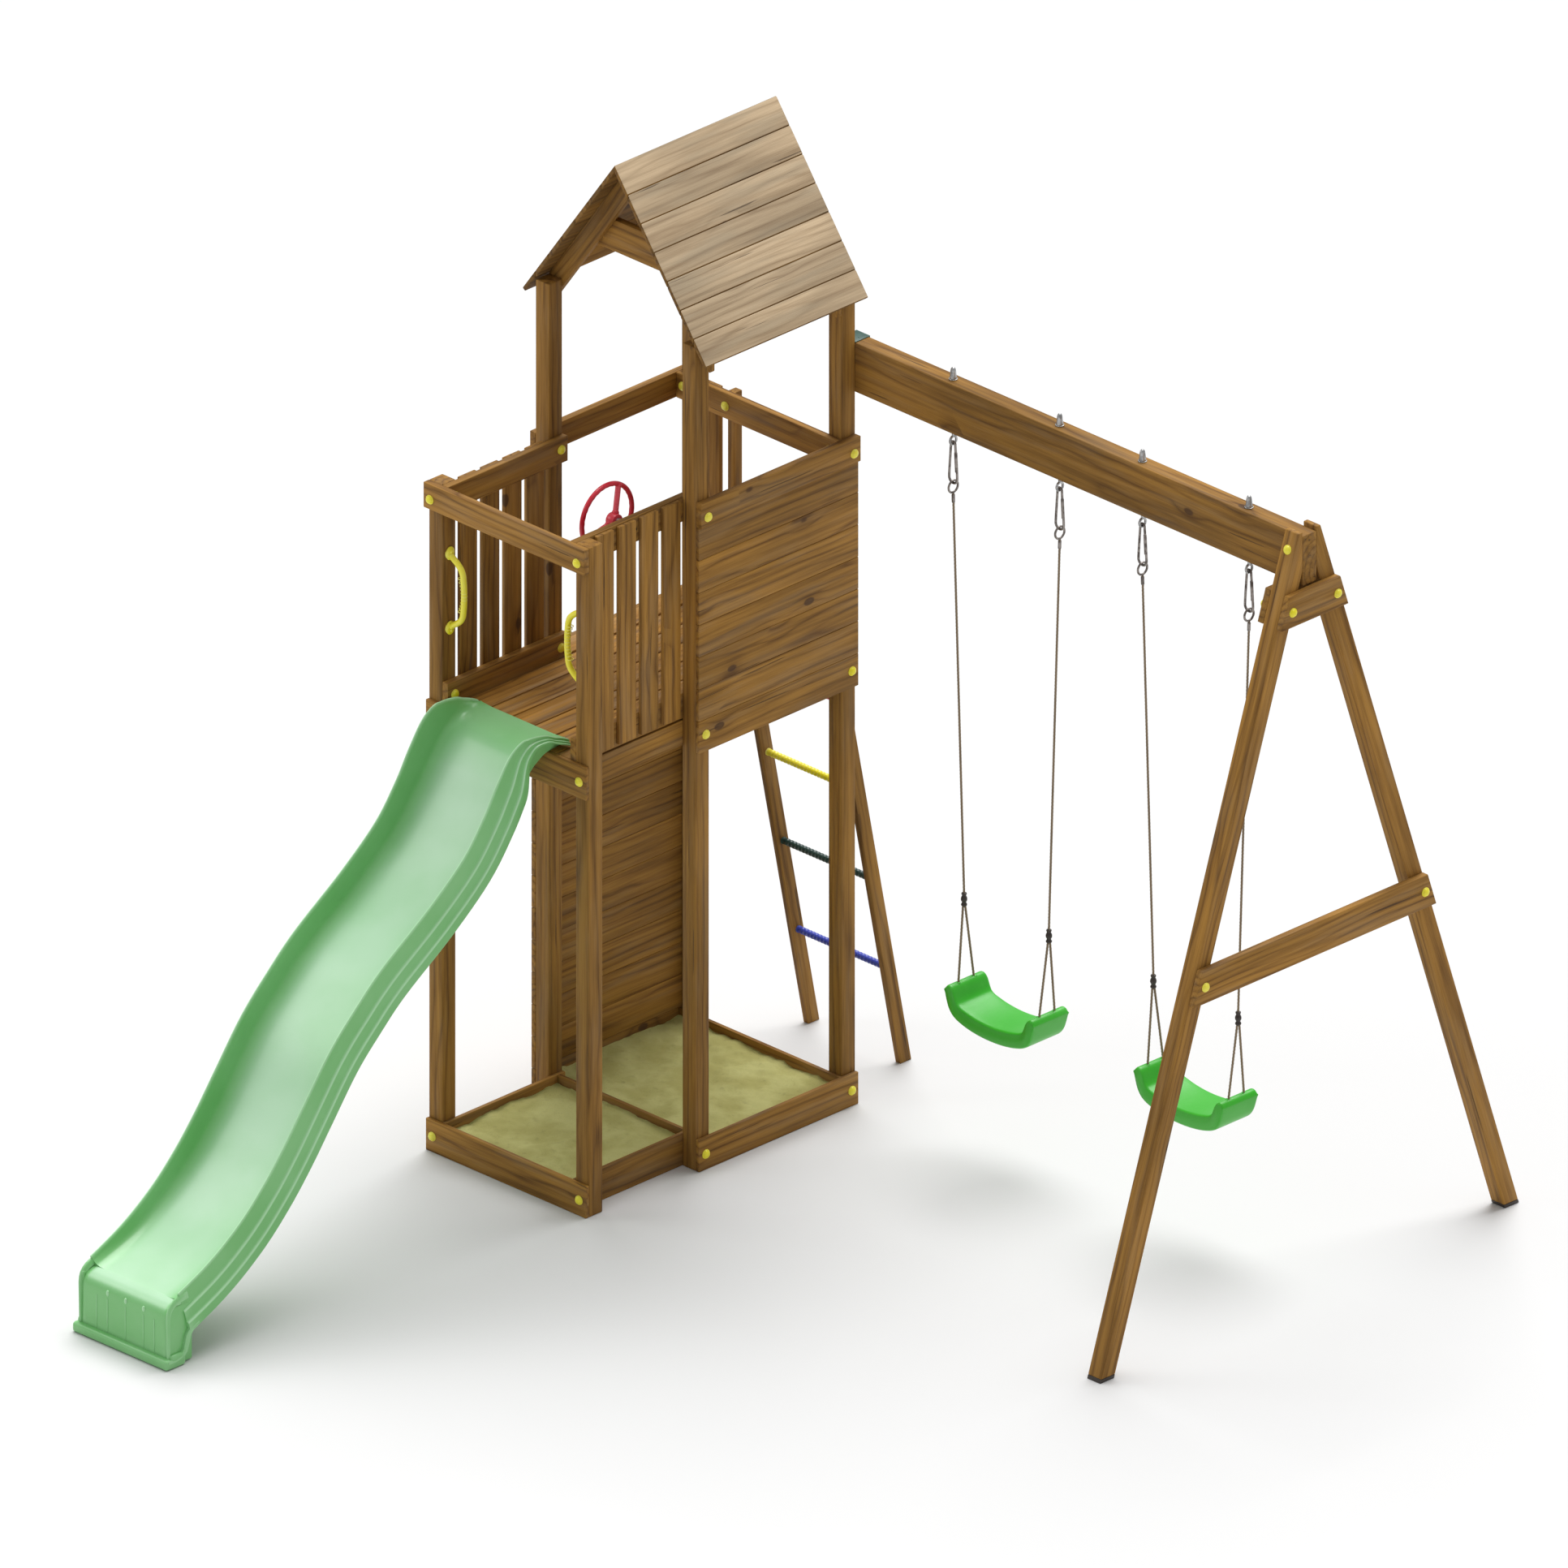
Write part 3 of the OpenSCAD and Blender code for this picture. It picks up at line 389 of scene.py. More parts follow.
def moulded_plastic_group():
    """The faint mottling, scuffs and orange peel of moulded plastic, with painted highlights on its sharp and
    marked edges and, where marked, a paler bed from wear and painted sheen.
    """
    tree, net, into, out = new_group(
        "Moulded plastic",
        [("Place", "v", None), ("Tint", "c", (0.2, 0.5, 0.2, 1)), ("Pale", "c", (0.4, 0.7, 0.4, 1)),
         ("Gloss", "f", 0.3), ("Scuffs", "f", 0.1), ("Wear_and_sheen", "f", 0.0), ("Wear and sheen color", "c", (0.5, 0.7, 0.5,
                                                                                             1)),
         ("Edge", "f", 0.0)],
        [("Color", "c"), ("Rough", "f"), ("Height", "f")])
    place = into["Place"]
    cloud = net.noise(place, 4.0, 3.0)
    fine = net.noise(place, 60.0, 3.0)
    peel = net.noise(place, 320.0, 2.0)
    # random scuffs of real wear, also used for roughness
    wear_and_sheen = net.span(net.noise(place, 22.0, 5.0, 0.7), 0.56, 0.78)
    # painted highlight: sharp edges found by pointiness, and points marked as edges, are mixed towards the pale
    # colour below
    edge = net.add("ShaderNodeNewGeometry").outputs["Pointiness"]
    rim = net.span(edge, 0.52, 0.60)
    color = net.mix(net.math("MULTIPLY", net.span(cloud, 0.3, 0.7), 0.16), into["Tint"], into["Pale"])
    color = net.mix(net.math("MULTIPLY", wear_and_sheen, into["Scuffs"]), color, into["Pale"])
    # where marked, mixed towards a paler colour that stands for real wear and for painted sheen
    rubbed_and_sheen = net.math("MULTIPLY", into["Wear_and_sheen"], net.span(cloud, 0.25, 0.7, 0.75, 1.0))
    color = net.mix(rubbed_and_sheen, color, into["Wear and sheen color"])
    color = net.mix(net.math("MAXIMUM", net.math("MULTIPLY", rim, 0.45), into["Edge"]), color, into["Pale"])
    net.put(out["Color"], color)
    rough = net.math("ADD", into["Gloss"], net.math("MULTIPLY", wear_and_sheen, 0.18))
    net.put(out["Rough"], net.math("ADD", rough, net.math("MULTIPLY", fine, 0.08)))
    net.put(out["Height"], net.math("ADD", peel, net.math("MULTIPLY", fine, 0.5)))
    return tree


def new_material(name):
    material = bpy.data.materials.new(name)
    material.use_nodes = True
    material.node_tree.nodes.clear()
    net = Net(material.node_tree)
    shader = net.add("ShaderNodeBsdfPrincipled")
    net.add("ShaderNodeOutputMaterial", None, Surface=shader.outputs[0])
    return material, net, shader


def add_bump(net, shader, height, distance, strength=1.0):
    bump = net.add("ShaderNodeBump", None, Height=height, Distance=distance, Strength=strength)
    net.put(shader.inputs["Normal"], bump.outputs[0])


def timber_material(name, early, late, weather=0.15, bump=0.0007):
    material, net, shader = new_material(name)
    grain = net.add("ShaderNodeAttribute", {"attribute_name": "grain"})
    tone = net.add("ShaderNodeAttribute", {"attribute_name": "tone"})
    group = net.add("ShaderNodeGroup", {"node_tree": GROUPS["timber"]})
    net.put(group.inputs["Grain"], grain.outputs["Vector"])
    net.put(group.inputs["Tone"], tone.outputs["Fac"])
    net.put(group.inputs["Early wood"], early)
    net.put(group.inputs["Late wood"], late)
    net.put(group.inputs["Weather"], weather)
    net.put(shader.inputs["Base Color"], group.outputs["Color"])
    net.put(shader.inputs["Roughness"], group.outputs["Rough"])
    shader.inputs["Specular IOR Level"].default_value = 0.3
    add_bump(net, shader, group.outputs["Height"], bump)
    return material


def plastic_material(name, tint, pale, gloss=0.28, scuffs=0.1, bump=0.0002, coat=0.0, wear_and_sheen=None):
    material, net, shader = new_material(name)
    place = net.add("ShaderNodeTexCoord").outputs["Object"]
    group = net.add("ShaderNodeGroup", {"node_tree": GROUPS["plastic"]})
    for label, value in (("Place", place), ("Tint", tint), ("Pale", pale), ("Gloss", gloss), ("Scuffs",
                                                                                              scuffs)):
        net.put(group.inputs[label], value)
    # the marked bed gets wear with painted sheen, and the marked edges a painted highlight
    if wear_and_sheen:
        net.put(group.inputs["Wear and sheen color"], wear_and_sheen)
        for label in ("Wear_and_sheen", "Edge"):
            mark = net.add("ShaderNodeAttribute", {"attribute_name": label.lower()})
            net.put(group.inputs[label], mark.outputs["Fac"])
    net.put(shader.inputs["Base Color"], group.outputs["Color"])
    net.put(shader.inputs["Roughness"], group.outputs["Rough"])
    shader.inputs["Coat Weight"].default_value = coat
    shader.inputs["Coat Roughness"].default_value = 0.15
    add_bump(net, shader, group.outputs["Height"], bump)
    return material


def steel_material(name, tint, dull, roughness, paint=False):
    """Zinc plated or painted steel, with dull patches."""
    material, net, shader = new_material(name)
    place = net.add("ShaderNodeTexCoord").outputs["Object"]
    patches = net.span(net.noise(place, 55.0, 4.0, 0.65), 0.4, 0.66)
    color = net.mix(patches, tint, dull)
    net.put(shader.inputs["Base Color"], color)
    net.put(shader.inputs["Roughness"], net.math("ADD", roughness, net.math("MULTIPLY", patches, 0.2)))
    shader.inputs["Metallic"].default_value = 0.0 if paint else 1.0
    add_bump(net, shader, net.noise(place, 400.0, 2.0), 0.0001)
    return material


def sand_material(name, dry, damp):
    material, net, shader = new_material(name)
    place = net.add("ShaderNodeTexCoord").outputs["Object"]
    grains = net.noise(place, 480.0, 3.0, 0.7)
    clumps = net.noise(place, 45.0, 4.0, 0.6)
    drift = net.noise(place, 9.0, 3.0)
    color = net.mix(net.span(drift, 0.35, 0.65), dry, damp)
    color = net.mix(net.span(clumps, 0.55, 0.8, 0.0, 0.3), color, (0.20, 0.17, 0.07, 1))
    color = net.mix(net.span(grains, 0.55, 0.75, 0.0, 0.5), color, (0.72, 0.66, 0.42, 1))
    color = net.mix(net.span(grains, 0.42, 0.25, 0.0, 0.6), color, (0.16, 0.13, 0.06, 1))
    net.put(shader.inputs["Base Color"], color)
    shader.inputs["Roughness"].default_value = 0.95
    shader.inputs["Specular IOR Level"].default_value = 0.15
    add_bump(net, shader, net.math("ADD", grains, clumps), 0.004)
    return material


def rope_material(name, pale, dark):
    material, net, shader = new_material(name)
    along = net.add("ShaderNodeAttribute", {"attribute_name": "lay"})
    place = net.add("ShaderNodeTexCoord").outputs["Object"]
    hairs = net.noise(net.vector("MULTIPLY", along.outputs["Vector"], (60.0, 6.0, 0.0)), 1.0, 3.0, 0.6)
    soil = net.noise(place, 14.0, 3.0)
    color = net.mix(net.span(hairs, 0.35, 0.65), pale, dark)
    color = net.mix(net.span(soil, 0.45, 0.7, 0.0, 0.5), color, dark)
    net.put(shader.inputs["Base Color"], color)
    shader.inputs["Roughness"].default_value = 0.85
    shader.inputs["Sheen Weight"].default_value = 0.3
    shader.inputs["Sheen Roughness"].default_value = 0.5
    add_bump(net, shader, hairs, 0.0006)
    return material


def floor_material(name, tint):
    material, net, shader = new_material(name)
    place = net.add("ShaderNodeTexCoord").outputs["Object"]
    drift = net.span(net.noise(place, 0.7, 2.0), 0.2, 0.8, 0.0, 0.02)
    net.put(shader.inputs["Base Color"], net.mix(drift, tint, (0.62, 0.62, 0.62, 1)))
    shader.inputs["Roughness"].default_value = 0.9
    shader.inputs["Specular IOR Level"].default_value = 0.1
    return material


GROUPS = {}
FINISH = {}


def make_finishes(look):
    GROUPS["timber"] = sawn_timber_group()
    GROUPS["plastic"] = moulded_plastic_group()
    early, late = tuple(look.early_wood), tuple(look.late_wood)

    def toned(color, by):
        return (color[0] * by, color[1] * by, color[2] * by, 1)

    FINISH["timber"] = timber_material("Oiled timber", early, late, 0.12)
    FINISH["frame"] = timber_material("Frame timber", toned(early, 0.94), toned(late, 0.94), 0.1)
    FINISH["low"] = timber_material("Sandbox timber", toned(early, 0.95), toned(late, 0.95), 0.12)
    FINISH["deck"] = timber_material("Deck timber", toned(early, 1.15), toned(late, 1.3), 0.3)
    FINISH["roof"] = timber_material("Roof timber", tuple(look.roof_early), tuple(look.roof_late), 0.35)
    # a darker copy of the timber for the roof boards' downward and side faces: painted shade
    FINISH["under"] = timber_material("Roof underside painted shade", toned(early, 0.6), toned(late, 0.6), 0.05)
    # the slide's bed colour is partly real wear and partly painted sheen; its pale colour also paints the edge
    # highlights
    FINISH["slide"] = plastic_material("Slide plastic", tuple(look.slide_green), tuple(look.slide_pale),
                                       0.3, 0.06,
                                       coat=0.25, wear_and_sheen=tuple(look.slide_wear_and_sheen))
    FINISH["seat"] = plastic_material("Seat plastic", tuple(look.seat_green), (0.16, 0.62, 0.12, 1), 0.32,
                                      0.12)
    FINISH["yellow"] = plastic_material("Yellow plastic", tuple(look.yellow), (0.95, 0.95, 0.45, 1), 0.25,
                                        0.08)
    FINISH["red"] = plastic_material("Red plastic", tuple(look.red), (0.85, 0.12, 0.16, 1), 0.25, 0.08)
    FINISH["blue"] = plastic_material("Blue plastic", (0.03, 0.05, 0.42, 1), (0.14, 0.18, 0.62, 1), 0.3, 0.1)
    FINISH["green"] = plastic_material("Dark green plastic", (0.012, 0.04, 0.035, 1), (0.05, 0.12, 0.1, 1),
                                       0.3, 0.1)
    FINISH["black"] = plastic_material("Black plastic", (0.022, 0.014, 0.010, 1), (0.09, 0.07, 0.055, 1),
                                       0.42, 0.2)
    FINISH["steel"] = steel_material("Zinc plated steel", (0.50, 0.50, 0.50, 1), (0.30, 0.30, 0.30, 1), 0.32)
    FINISH["hook"] = steel_material("Dark zinc steel", (0.30, 0.27, 0.25, 1), (0.13, 0.11, 0.10, 1), 0.36)
    FINISH["bracket"] = steel_material("Green painted steel", (0.02, 0.07, 0.055, 1), (0.035, 0.1, 0.08, 1),
                                       0.4, True)
    FINISH["sand"] = sand_material("Play sand", tuple(look.sand_dry), tuple(look.sand_damp))
    FINISH["rope"] = rope_material("Twisted rope", tuple(look.rope_pale), tuple(look.rope_dark))
    FINISH["floor"] = floor_material("Pale floor", (0.685, 0.685, 0.685, 1))


# ---------- timber ----------

def seeded(centre):
    """Random numbers that depend only on where a board is."""
    return random.Random(round(centre.x * 911) * 7919 + round(centre.y * 977) * 104729
                         + round(centre.z * 881) * 31)


def long_way(obj):
    """The direction of a board's longest edge."""
    best = max(obj.data.edges, key=lambda e: (obj.data.vertices[e.vertices[0]].co
                                              - obj.data.vertices[e.vertices[1]].co).length)
    return (obj.data.vertices[best.vertices[0]].co - obj.data.vertices[best.vertices[1]].co).normalized()


def lay_grain(obj, way):
    """Stores each vertex's place along and across the board's grain."""
    mesh = obj.data
    count = len(mesh.vertices)
    centre = sum((v.co for v in mesh.vertices), Vector()) / count
    chance = seeded(centre)
    side = way.cross(Vector((0.31, 0.83, 0.47))).normalized()
    other = way.cross(side).normalized()
    angle = chance.uniform(0, math.tau)
    reach = chance.uniform(0.035, 0.11)
    shift = Vector((chance.uniform(0, 30), math.cos(angle) * reach, math.sin(angle) * reach))
    mesh.attributes.new("grain", "FLOAT_VECTOR", "POINT")
    mesh.attributes.new("tone", "FLOAT", "POINT")
    grain, tone = mesh.attributes["grain"], mesh.attributes["tone"]
    shade = chance.uniform(0.15, 0.85)
    for i, vertex in enumerate(mesh.vertices):
        p = vertex.co - centre
        grain.data[i].vector = Vector((p.dot(way), p.dot(side), p.dot(other))) + shift
        tone.data[i].value = shade
    return obj


def ease_board(obj, edge):
    """Rounds a board's edges and lays its grain."""
    way = long_way(obj)
    bevel(obj, edge, 2, 25)
    smooth(obj, 40)
    return lay_grain(obj, way)


def loose_boards(node, cut=None):
    """The node's boards as whole solids without their screw holes; cut splits a fused pair at that X."""
    source = frame["nodes"][node]
    boards = []
    for side in ((1, -1) if cut is not None else (0,)):
        obj = bpy.data.objects.new(node + "_board", source.data.copy())
        bpy.context.scene.collection.objects.link(obj)
        only(obj)
        bpy.ops.object.mode_set(mode="EDIT")
        bpy.ops.mesh.select_all(action="SELECT")
        bpy.ops.mesh.remove_doubles(threshold=1e-5)
        if side:
            bpy.ops.mesh.bisect(plane_co=(cut, 0, 0), plane_no=(side, 0, 0), use_fill=False, clear_inner=True)
            bpy.ops.mesh.select_all(action="SELECT")
        bpy.ops.mesh.separate(type="LOOSE")
        bpy.ops.object.mode_set(mode="OBJECT")
        boards += list(bpy.context.selected_objects)
    for board in boards:
        only(board)
        bpy.ops.object.mode_set(mode="EDIT")
        bpy.ops.mesh.select_all(action="SELECT")
        bpy.ops.mesh.convex_hull()
        bpy.ops.mesh.select_all(action="SELECT")
        bpy.ops.mesh.dissolve_limited(angle_limit=math.radians(1.5))
        bpy.ops.object.mode_set(mode="OBJECT")
    return sorted(boards, key=lambda b: tuple(round(c, 3) for c in b.data.vertices[0].co))


def timber(name, nodes, finish, slot, edge, cut=None):
    """One piece made of all the boards of some nodes."""
    boards = [ease_board(b, edge) for node in nodes for b in loose_boards(node, cut)]
    piece = dress(join(boards, name), finish)
    return fit(piece, "frame", slot, *nodes)


def joists(edge):
    """The two long joists and the cross joists under the deck."""
    lo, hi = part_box("deck_joists")
    rail = 24 * MM
    boards = [box(Vector((x, lo.y, lo.z)), Vector((x + rail, hi.y, hi.z))) for x in (lo.x, hi.x - rail)]
    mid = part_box("post_mid_left")
    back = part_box("post_back_left")
    tower_mid = (mid[0].y + mid[1].y + back[0].y + back[1].y) / 4
    for y in (lo.y, (mid[0].y + mid[1].y) / 2 - rail / 2, tower_mid - rail / 2, back[0].y - rail):
        boards.append(box(Vector((lo.x + rail, y, lo.z)), Vector((hi.x - rail, y + rail, hi.z))))
    boards = [ease_board(b, edge) for b in boards]
    piece = dress(join(boards, "Deck_joists"), FINISH["low"])
    return fit(piece, "frame", "sandbox_timber", "deck_joists")


# ---------- sand ----------

def sand_fill(name, node):
    """A bumpy fill with closed sides, a little higher along its walls."""
    lo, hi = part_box(node)
    step = 0.012
    nx, ny = int((hi.x - lo.x) / step), int((hi.y - lo.y) / step)
    clear()
    bpy.ops.mesh.primitive_grid_add(x_subdivisions=nx, y_subdivisions=ny, size=1,
                                    location=((lo.x + hi.x) / 2, (lo.y + hi.y) / 2, 0))
    obj = active(name)
    obj.scale = (hi.x - lo.x, hi.y - lo.y, 1)
    settle(obj)
    for vertex in obj.data.vertices:
        p = vertex.co
        bumps = noise.noise(Vector((p.x * 9, p.y * 9, 1.7))) * 0.011
        bumps += noise.noise(Vector((p.x * 27, p.y * 27, 4.1))) * 0.006
        bumps += noise.noise(Vector((p.x * 70, p.y * 70, 9.3))) * 0.0025
        edge = min(p.x - lo.x, hi.x - p.x, p.y - lo.y, hi.y - p.y)
        p.z = hi.z - 0.006 + bumps + 0.004 * math.exp(-edge / 0.03)
    only(obj)
    bpy.ops.object.mode_set(mode="EDIT")
    bpy.ops.mesh.select_all(action="SELECT")
    bpy.ops.mesh.extrude_region_move(TRANSFORM_OT_translate={"value": (0, 0, -0.05)})
    bpy.ops.object.mode_set(mode="OBJECT")
    for vertex in obj.data.vertices:
        if vertex.select:
            vertex.co.z = lo.z + 0.001
    outwards(obj)
    smooth(obj, 60)
    return fit(dress(obj, FINISH["sand"]), "frame", "sand", node)


# ---------- slide ----------

SLIDE_ROUTE = [
    (30, 1520, 4), (20, 1520, 10), (0, 1519.5, 20), (-28, 1518, 34), (-60, 1512, 60), (-90, 1497, 92),
    (-125, 1471, 112), (-180, 1405, 108),
    (-245, 1318, 99), (-345, 1204, 93), (-500, 1082, 92), (-700, 954, 88), (-810, 864, 86),
    (-915, 762, 86), (-1025, 616, 89), (-1110, 511, 86), (-1205, 413, 80), (-1320, 324, 69),
    (-1470, 248, 51), (-1660, 190, 26)]


SIDE_DEPTH = 145
LIP_DEPTH = 21
SLIDE_END = -1661


def smooth_route(points, steps):
    """A Catmull-Rom curve through the points."""
    out = []
    last = len(points) - 1
    for i in range(last):
        a, b, c, d = (Vector(points[max(0, min(last, k))]) for k in (i - 1, i, i + 1, i + 2))
        for k in range(steps):
            t = k / steps
            out.append(0.5 * (2 * b + (c - a) * t + (2 * a - 5 * b + 4 * c - d) * t * t
                              + (3 * b - a - 3 * c + d) * t ** 3))
    out.append(Vector(points[-1]))
    return out


def slide_section(rim, side, flare):
    """Half of the slide's section as (across, above the bed, wear and painted sheen, painted edge highlight),
    from the bed out and round below.
    """
    k = side / SIDE_DEPTH
    # third value: paler bed from wear plus painted sheen; fourth value: painted highlight on the rim tops and
    # ledge lips
    half = [(0, 0, 1, 0), (60, 0, 1, 0), (115, 0, 0.9, 0), (140, 0.5, 0.6, 0), (156, 2.5, 0.25, 0),
            (167, 7, 0.05, 0), (173.5, 14, 0, 0), (176.5, 24, 0, 0)]
    half = [(x, min(v, rim * 0.4 + v * 0.15), w, e) for x, v, w, e in half]
    half += [(178 + flare * 0.2, max(rim * 0.55, rim - 34), 0, 0), (179.3 + flare * 0.4, rim - 10, 0, 0),
             (181 + flare * 0.5, rim - 3.4, 0, 0.5), (183.4 + flare * 0.6, rim, 0, 1),
             (186 + flare * 0.7, rim + 0.2, 0, 1), (188.2 + flare * 0.8, rim - 3, 0, 0.6),
             (188.8 + flare * 0.8, rim - 9 * k, 0, 0)]
    half += [(188.9 + flare * 0.85, rim - 34 * k, 0, 0), (189 + flare * 0.85, rim - 59 * k, 0, 0),
             (190 + flare * 0.9, rim - 63 * k, 0, 0.4), (193.4 + flare * 0.9, rim - 65 * k, 0, 1),
             (195 + flare * 0.9, rim - 67.5 * k, 0, 1), (195.4 + flare * 0.9, rim - 72 * k, 0, 0),
             (195.4 + flare * 0.9, rim - 88 * k, 0, 0), (195.4 + flare * 0.95, rim - 101.5 * k, 0, 0),
             (196.4 + flare, rim - 105.4 * k, 0, 0.4), (199.8 + flare, rim - 107 * k, 0, 1),
             (201.3 + flare, rim - 109.6 * k, 0, 1), (201.6 + flare, rim - 114 * k, 0, 0),
             (201.6 + flare, rim - 138 * k, 0, 0), (200.4 + flare, rim - 143.4 * k, 0, 0),
             (197 + flare, rim - side, 0, 0), (193.4 + flare, rim - 143 * k, 0, 0),
             (192.2 + flare, rim - 134 * k, 0, 0), (190.5 + flare * 0.8, rim - 112 * k, 0, 0)]
    low = min(-6.0, rim - 108 * k)
    half += [(184, max(low, -17), 0, 0), (181, -12, 0, 0), (174, -7.5, 0, 0), (150, -6, 0, 0), (80, -6, 0, 0),
             (0, -6, 0, 0)]
    return half


def slide_sweep():
    """The chute with its rims, ledges and the lip on the deck, swept along its route."""
    route = smooth_route(SLIDE_ROUTE, 6)
    rows, marks = [], []
    for i, p in enumerate(route):
        if p.x < -1626:
            break
        a, b = route[max(i - 1, 0)], route[min(i + 1, len(route) - 1)]
        way = Vector((b.x - a.x, b.y - a.y)).normalized()
        up = Vector((way.y, -way.x))
        near = min(max((p.x + 190) / 145, 0.0), 1.0)
        near = near * near * (3 - 2 * near)
        side = SIDE_DEPTH * (1 - near) + LIP_DEPTH * near
        flare = 10 * near * min(max((p.x + 90) / 60, 0.0), 1.0)
        half = slide_section(max(p.z, 1.5), side, flare)
        whole = half + [(-x, v, w, e) for x, v, w, e in reversed(half[1:-1])]
        row = []
        for x, v, wear_and_sheen, edge in whole:
            y, z = p.x + up.x * v, p.y + up.y * v
            if p.x > -56:
                z = max(z, 1500.4 if y > -42.9 else 1494)
            if z < 1500.2:
                y = min(y, -43.2)
            y = max(y, SLIDE_END)
            row.append(at(x, y, max(z, 0.6)))
            # bed marks for wear and painted sheen, weaker near the top of the chute, and painted edge
            # highlights
            marks.append((wear_and_sheen * min(max((-60 - p.x) / 120, 0.25), 1.0), edge))
        # the closed grid repeats each row's first point
        marks.append(marks[-len(whole)])
        rows.append(row)
    chute = grid_surface("Slide_chute", rows, closed=True)
    for label in ("wear_and_sheen", "edge"):
        chute.data.attributes.new(label, "FLOAT", "POINT")
    for label, index in (("wear_and_sheen", 0), ("edge", 1)):
        values = chute.data.attributes[label].data
        for n, mark in enumerate(marks):
            values[n].value = mark[index]
    return cap_ends(chute)


def slide_foot():
    """The slide's upright end with its dimples and ribs, its cheeks and the flange on the ground."""
    parts = []
    # the end panel, rounded into the bed above it
    outline = [(-1590, 209), (-1612, 204), (-1628, 199.5), (-1640, 194.5), (-1649, 188.5), (-1656, 180),
               (-1660, 170), (-1662, 157), (-1662, 120), (-1662, 60), (-1662, 20), (-1648, 20), (-1648, 120),
               (-1646, 160), (-1636, 184), (-1590, 198)]
    rows = []
    for n in range(41):
        x = -188 + 376 * n / 40
        corner = max(0.0, abs(x) - 170) / 18
        bow = 12 * (1 - math.sqrt(max(0.0, 1 - corner * corner)))
        rows.append([at(x, y + (bow if y < -1646.5 else 0), z) for y, z in outline])
    panel = cap_ends(grid_surface("Slide_end", rows, closed=True))
    for label in ("wear_and_sheen", "edge"):
        panel.data.attributes.new(label, "FLOAT", "POINT")
    # the top of the end panel is marked paler: wear and painted sheen, as on the bed
    for vertex in panel.data.vertices:
        inside = 1.0 if abs(at(0, 0, 0).x - vertex.co.x) < 165 * MM else 0.0
        panel.data.attributes["wear_and_sheen"].data[vertex.index].value = (
            inside * min(max((vertex.co.z / MM - 176) / 24, 0.0), 1.0))
    parts.append(panel)
    # each rim rolls over the end and runs down beside the panel
    over = [(-1585, 236), (-1605, 231), (-1622, 226), (-1638, 219), (-1651, 209), (-1661, 196), (-1666, 182),
            (-1668, 164), (-1667, 120), (-1666, 70), (-1665, 24)]
    for s in (-1, 1):
        rows = []
        for k, (y, z) in enumerate(over):
            a, b = over[max(k - 1, 0)], over[min(k + 1, len(over) - 1)]
            d = Vector((b[0] - a[0], b[1] - a[1])).normalized()
            n = Vector((d.y, -d.x))
            deep = max(9.0, 26 - 2.2 * k)
            spots = [(176.5, -deep), (178, -9), (180, -3.4), (183, -0.3), (187, 0), (190, -2.6), (191.4, -8),
                     (191.4, -deep)]
            rows.append([at(s * x, y + n.x * h, z + n.y * h) for x, h in spots])
        parts.append(cap_ends(grid_surface("Slide_rim_end", rows, closed=True)))
    for x in (-116, -70, 6, 82, 128):
        rib = box(at(x - 2.2, -1663.6, 36), at(x + 2.2, -1655, 146))
        parts.append(bevel(rib, 1.4 * MM, 2, 40))
    for x in (-70, 6, 82):
        dimple = ball(at(x, -1660.5, 164), 6 * MM, (1.0, 0.8, 1.7), 16, 10)
        # painted highlight on the dimples
        dimple.data.attributes.new("edge", "FLOAT", "POINT")
        for vertex in dimple.data.vertices:
            dimple.data.attributes["edge"].data[vertex.index].value = 0.8
        parts.append(dimple)
    for s in (-1, 1):
        cheek = box(at(min(s * 176, s * 190), -1660, 2), at(max(s * 176, s * 190), -1560, 200))
        parts.append(bevel(cheek, 9 * MM, 5, 40))
        # the strip that turns up from the flange into the lower ledge
        strip = [(-1672, 26), (-1640, 26), (-1617, 32), (-1603, 48), (-1596, 70), (-1590, 92), (-1575, 112),
                 (-1545, 126)]
        rows = []
        for k, (y, z) in enumerate(strip):
            a, b = strip[max(k - 1, 0)], strip[min(k + 1, len(strip) - 1)]
            d = Vector((b[0] - a[0], b[1] - a[1])).normalized()
            n = Vector((-d.y, d.x)) * 5
            rows.append([at(s * 184, y + n.x, z + n.y), at(s * 199, y + n.x, z + n.y),
                         at(s * 202, y, z), at(s * 201, y - n.x * 2.4, z - n.y * 2.4),
                         at(s * 184, y - n.x * 2.4, z - n.y * 2.4)])
        parts.append(cap_ends(grid_surface("Slide_strip", rows, closed=True)))
        heel = box(at(min(s * 184, s * 201.5), -1660, 0), at(max(s * 184, s * 201.5), -1600, 44))
        parts.append(bevel(heel, 8 * MM, 4, 40))
    flange = box(at(-201.6, -1683, 0), at(201.6, -1640, 33))
    parts.append(bevel(flange, 10 * MM, 4, 40))
    return parts


def build_slide():
    body = join([slide_sweep()] + slide_foot(), "Slide")
    smooth(body, 42)
    return fit(dress(body, FINISH["slide"]), "frame", "slide_plastic", "slide")


# ---------- swings ----------

SWINGS = ("swing_1", "swing_2")
HANG_HALF, ADJUSTER_HALF, SEAT_HOLE_HALF = 226, 180, 170
ROPE_RADIUS = 4.0
EYE_BAR = HINGES["swing_1"].z / MM
HOOK_LENGTH = 138.0
RING_RADIUS, RING_WIRE = 19.5, 3.5
RING_Z = EYE_BAR - HOOK_LENGTH + 4 + RING_WIRE + 0.3 - RING_RADIUS
ROPE_TOP = RING_Z - RING_RADIUS - RING_WIRE
ADJUSTER_Z, ADJUSTER_REACH = 813.0, 22.6
STRAND_GAP, STRAND_SPREAD = 4.6, 37.0
SEAT_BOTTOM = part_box("swing_1_seat")[0].z / MM
SEAT_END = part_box("swing_1_seat")[1].z / MM
STRAND_FOOT = SEAT_END - 40


def swing_middle(swing):
    return (HINGES[swing] - ORIGIN) / MM


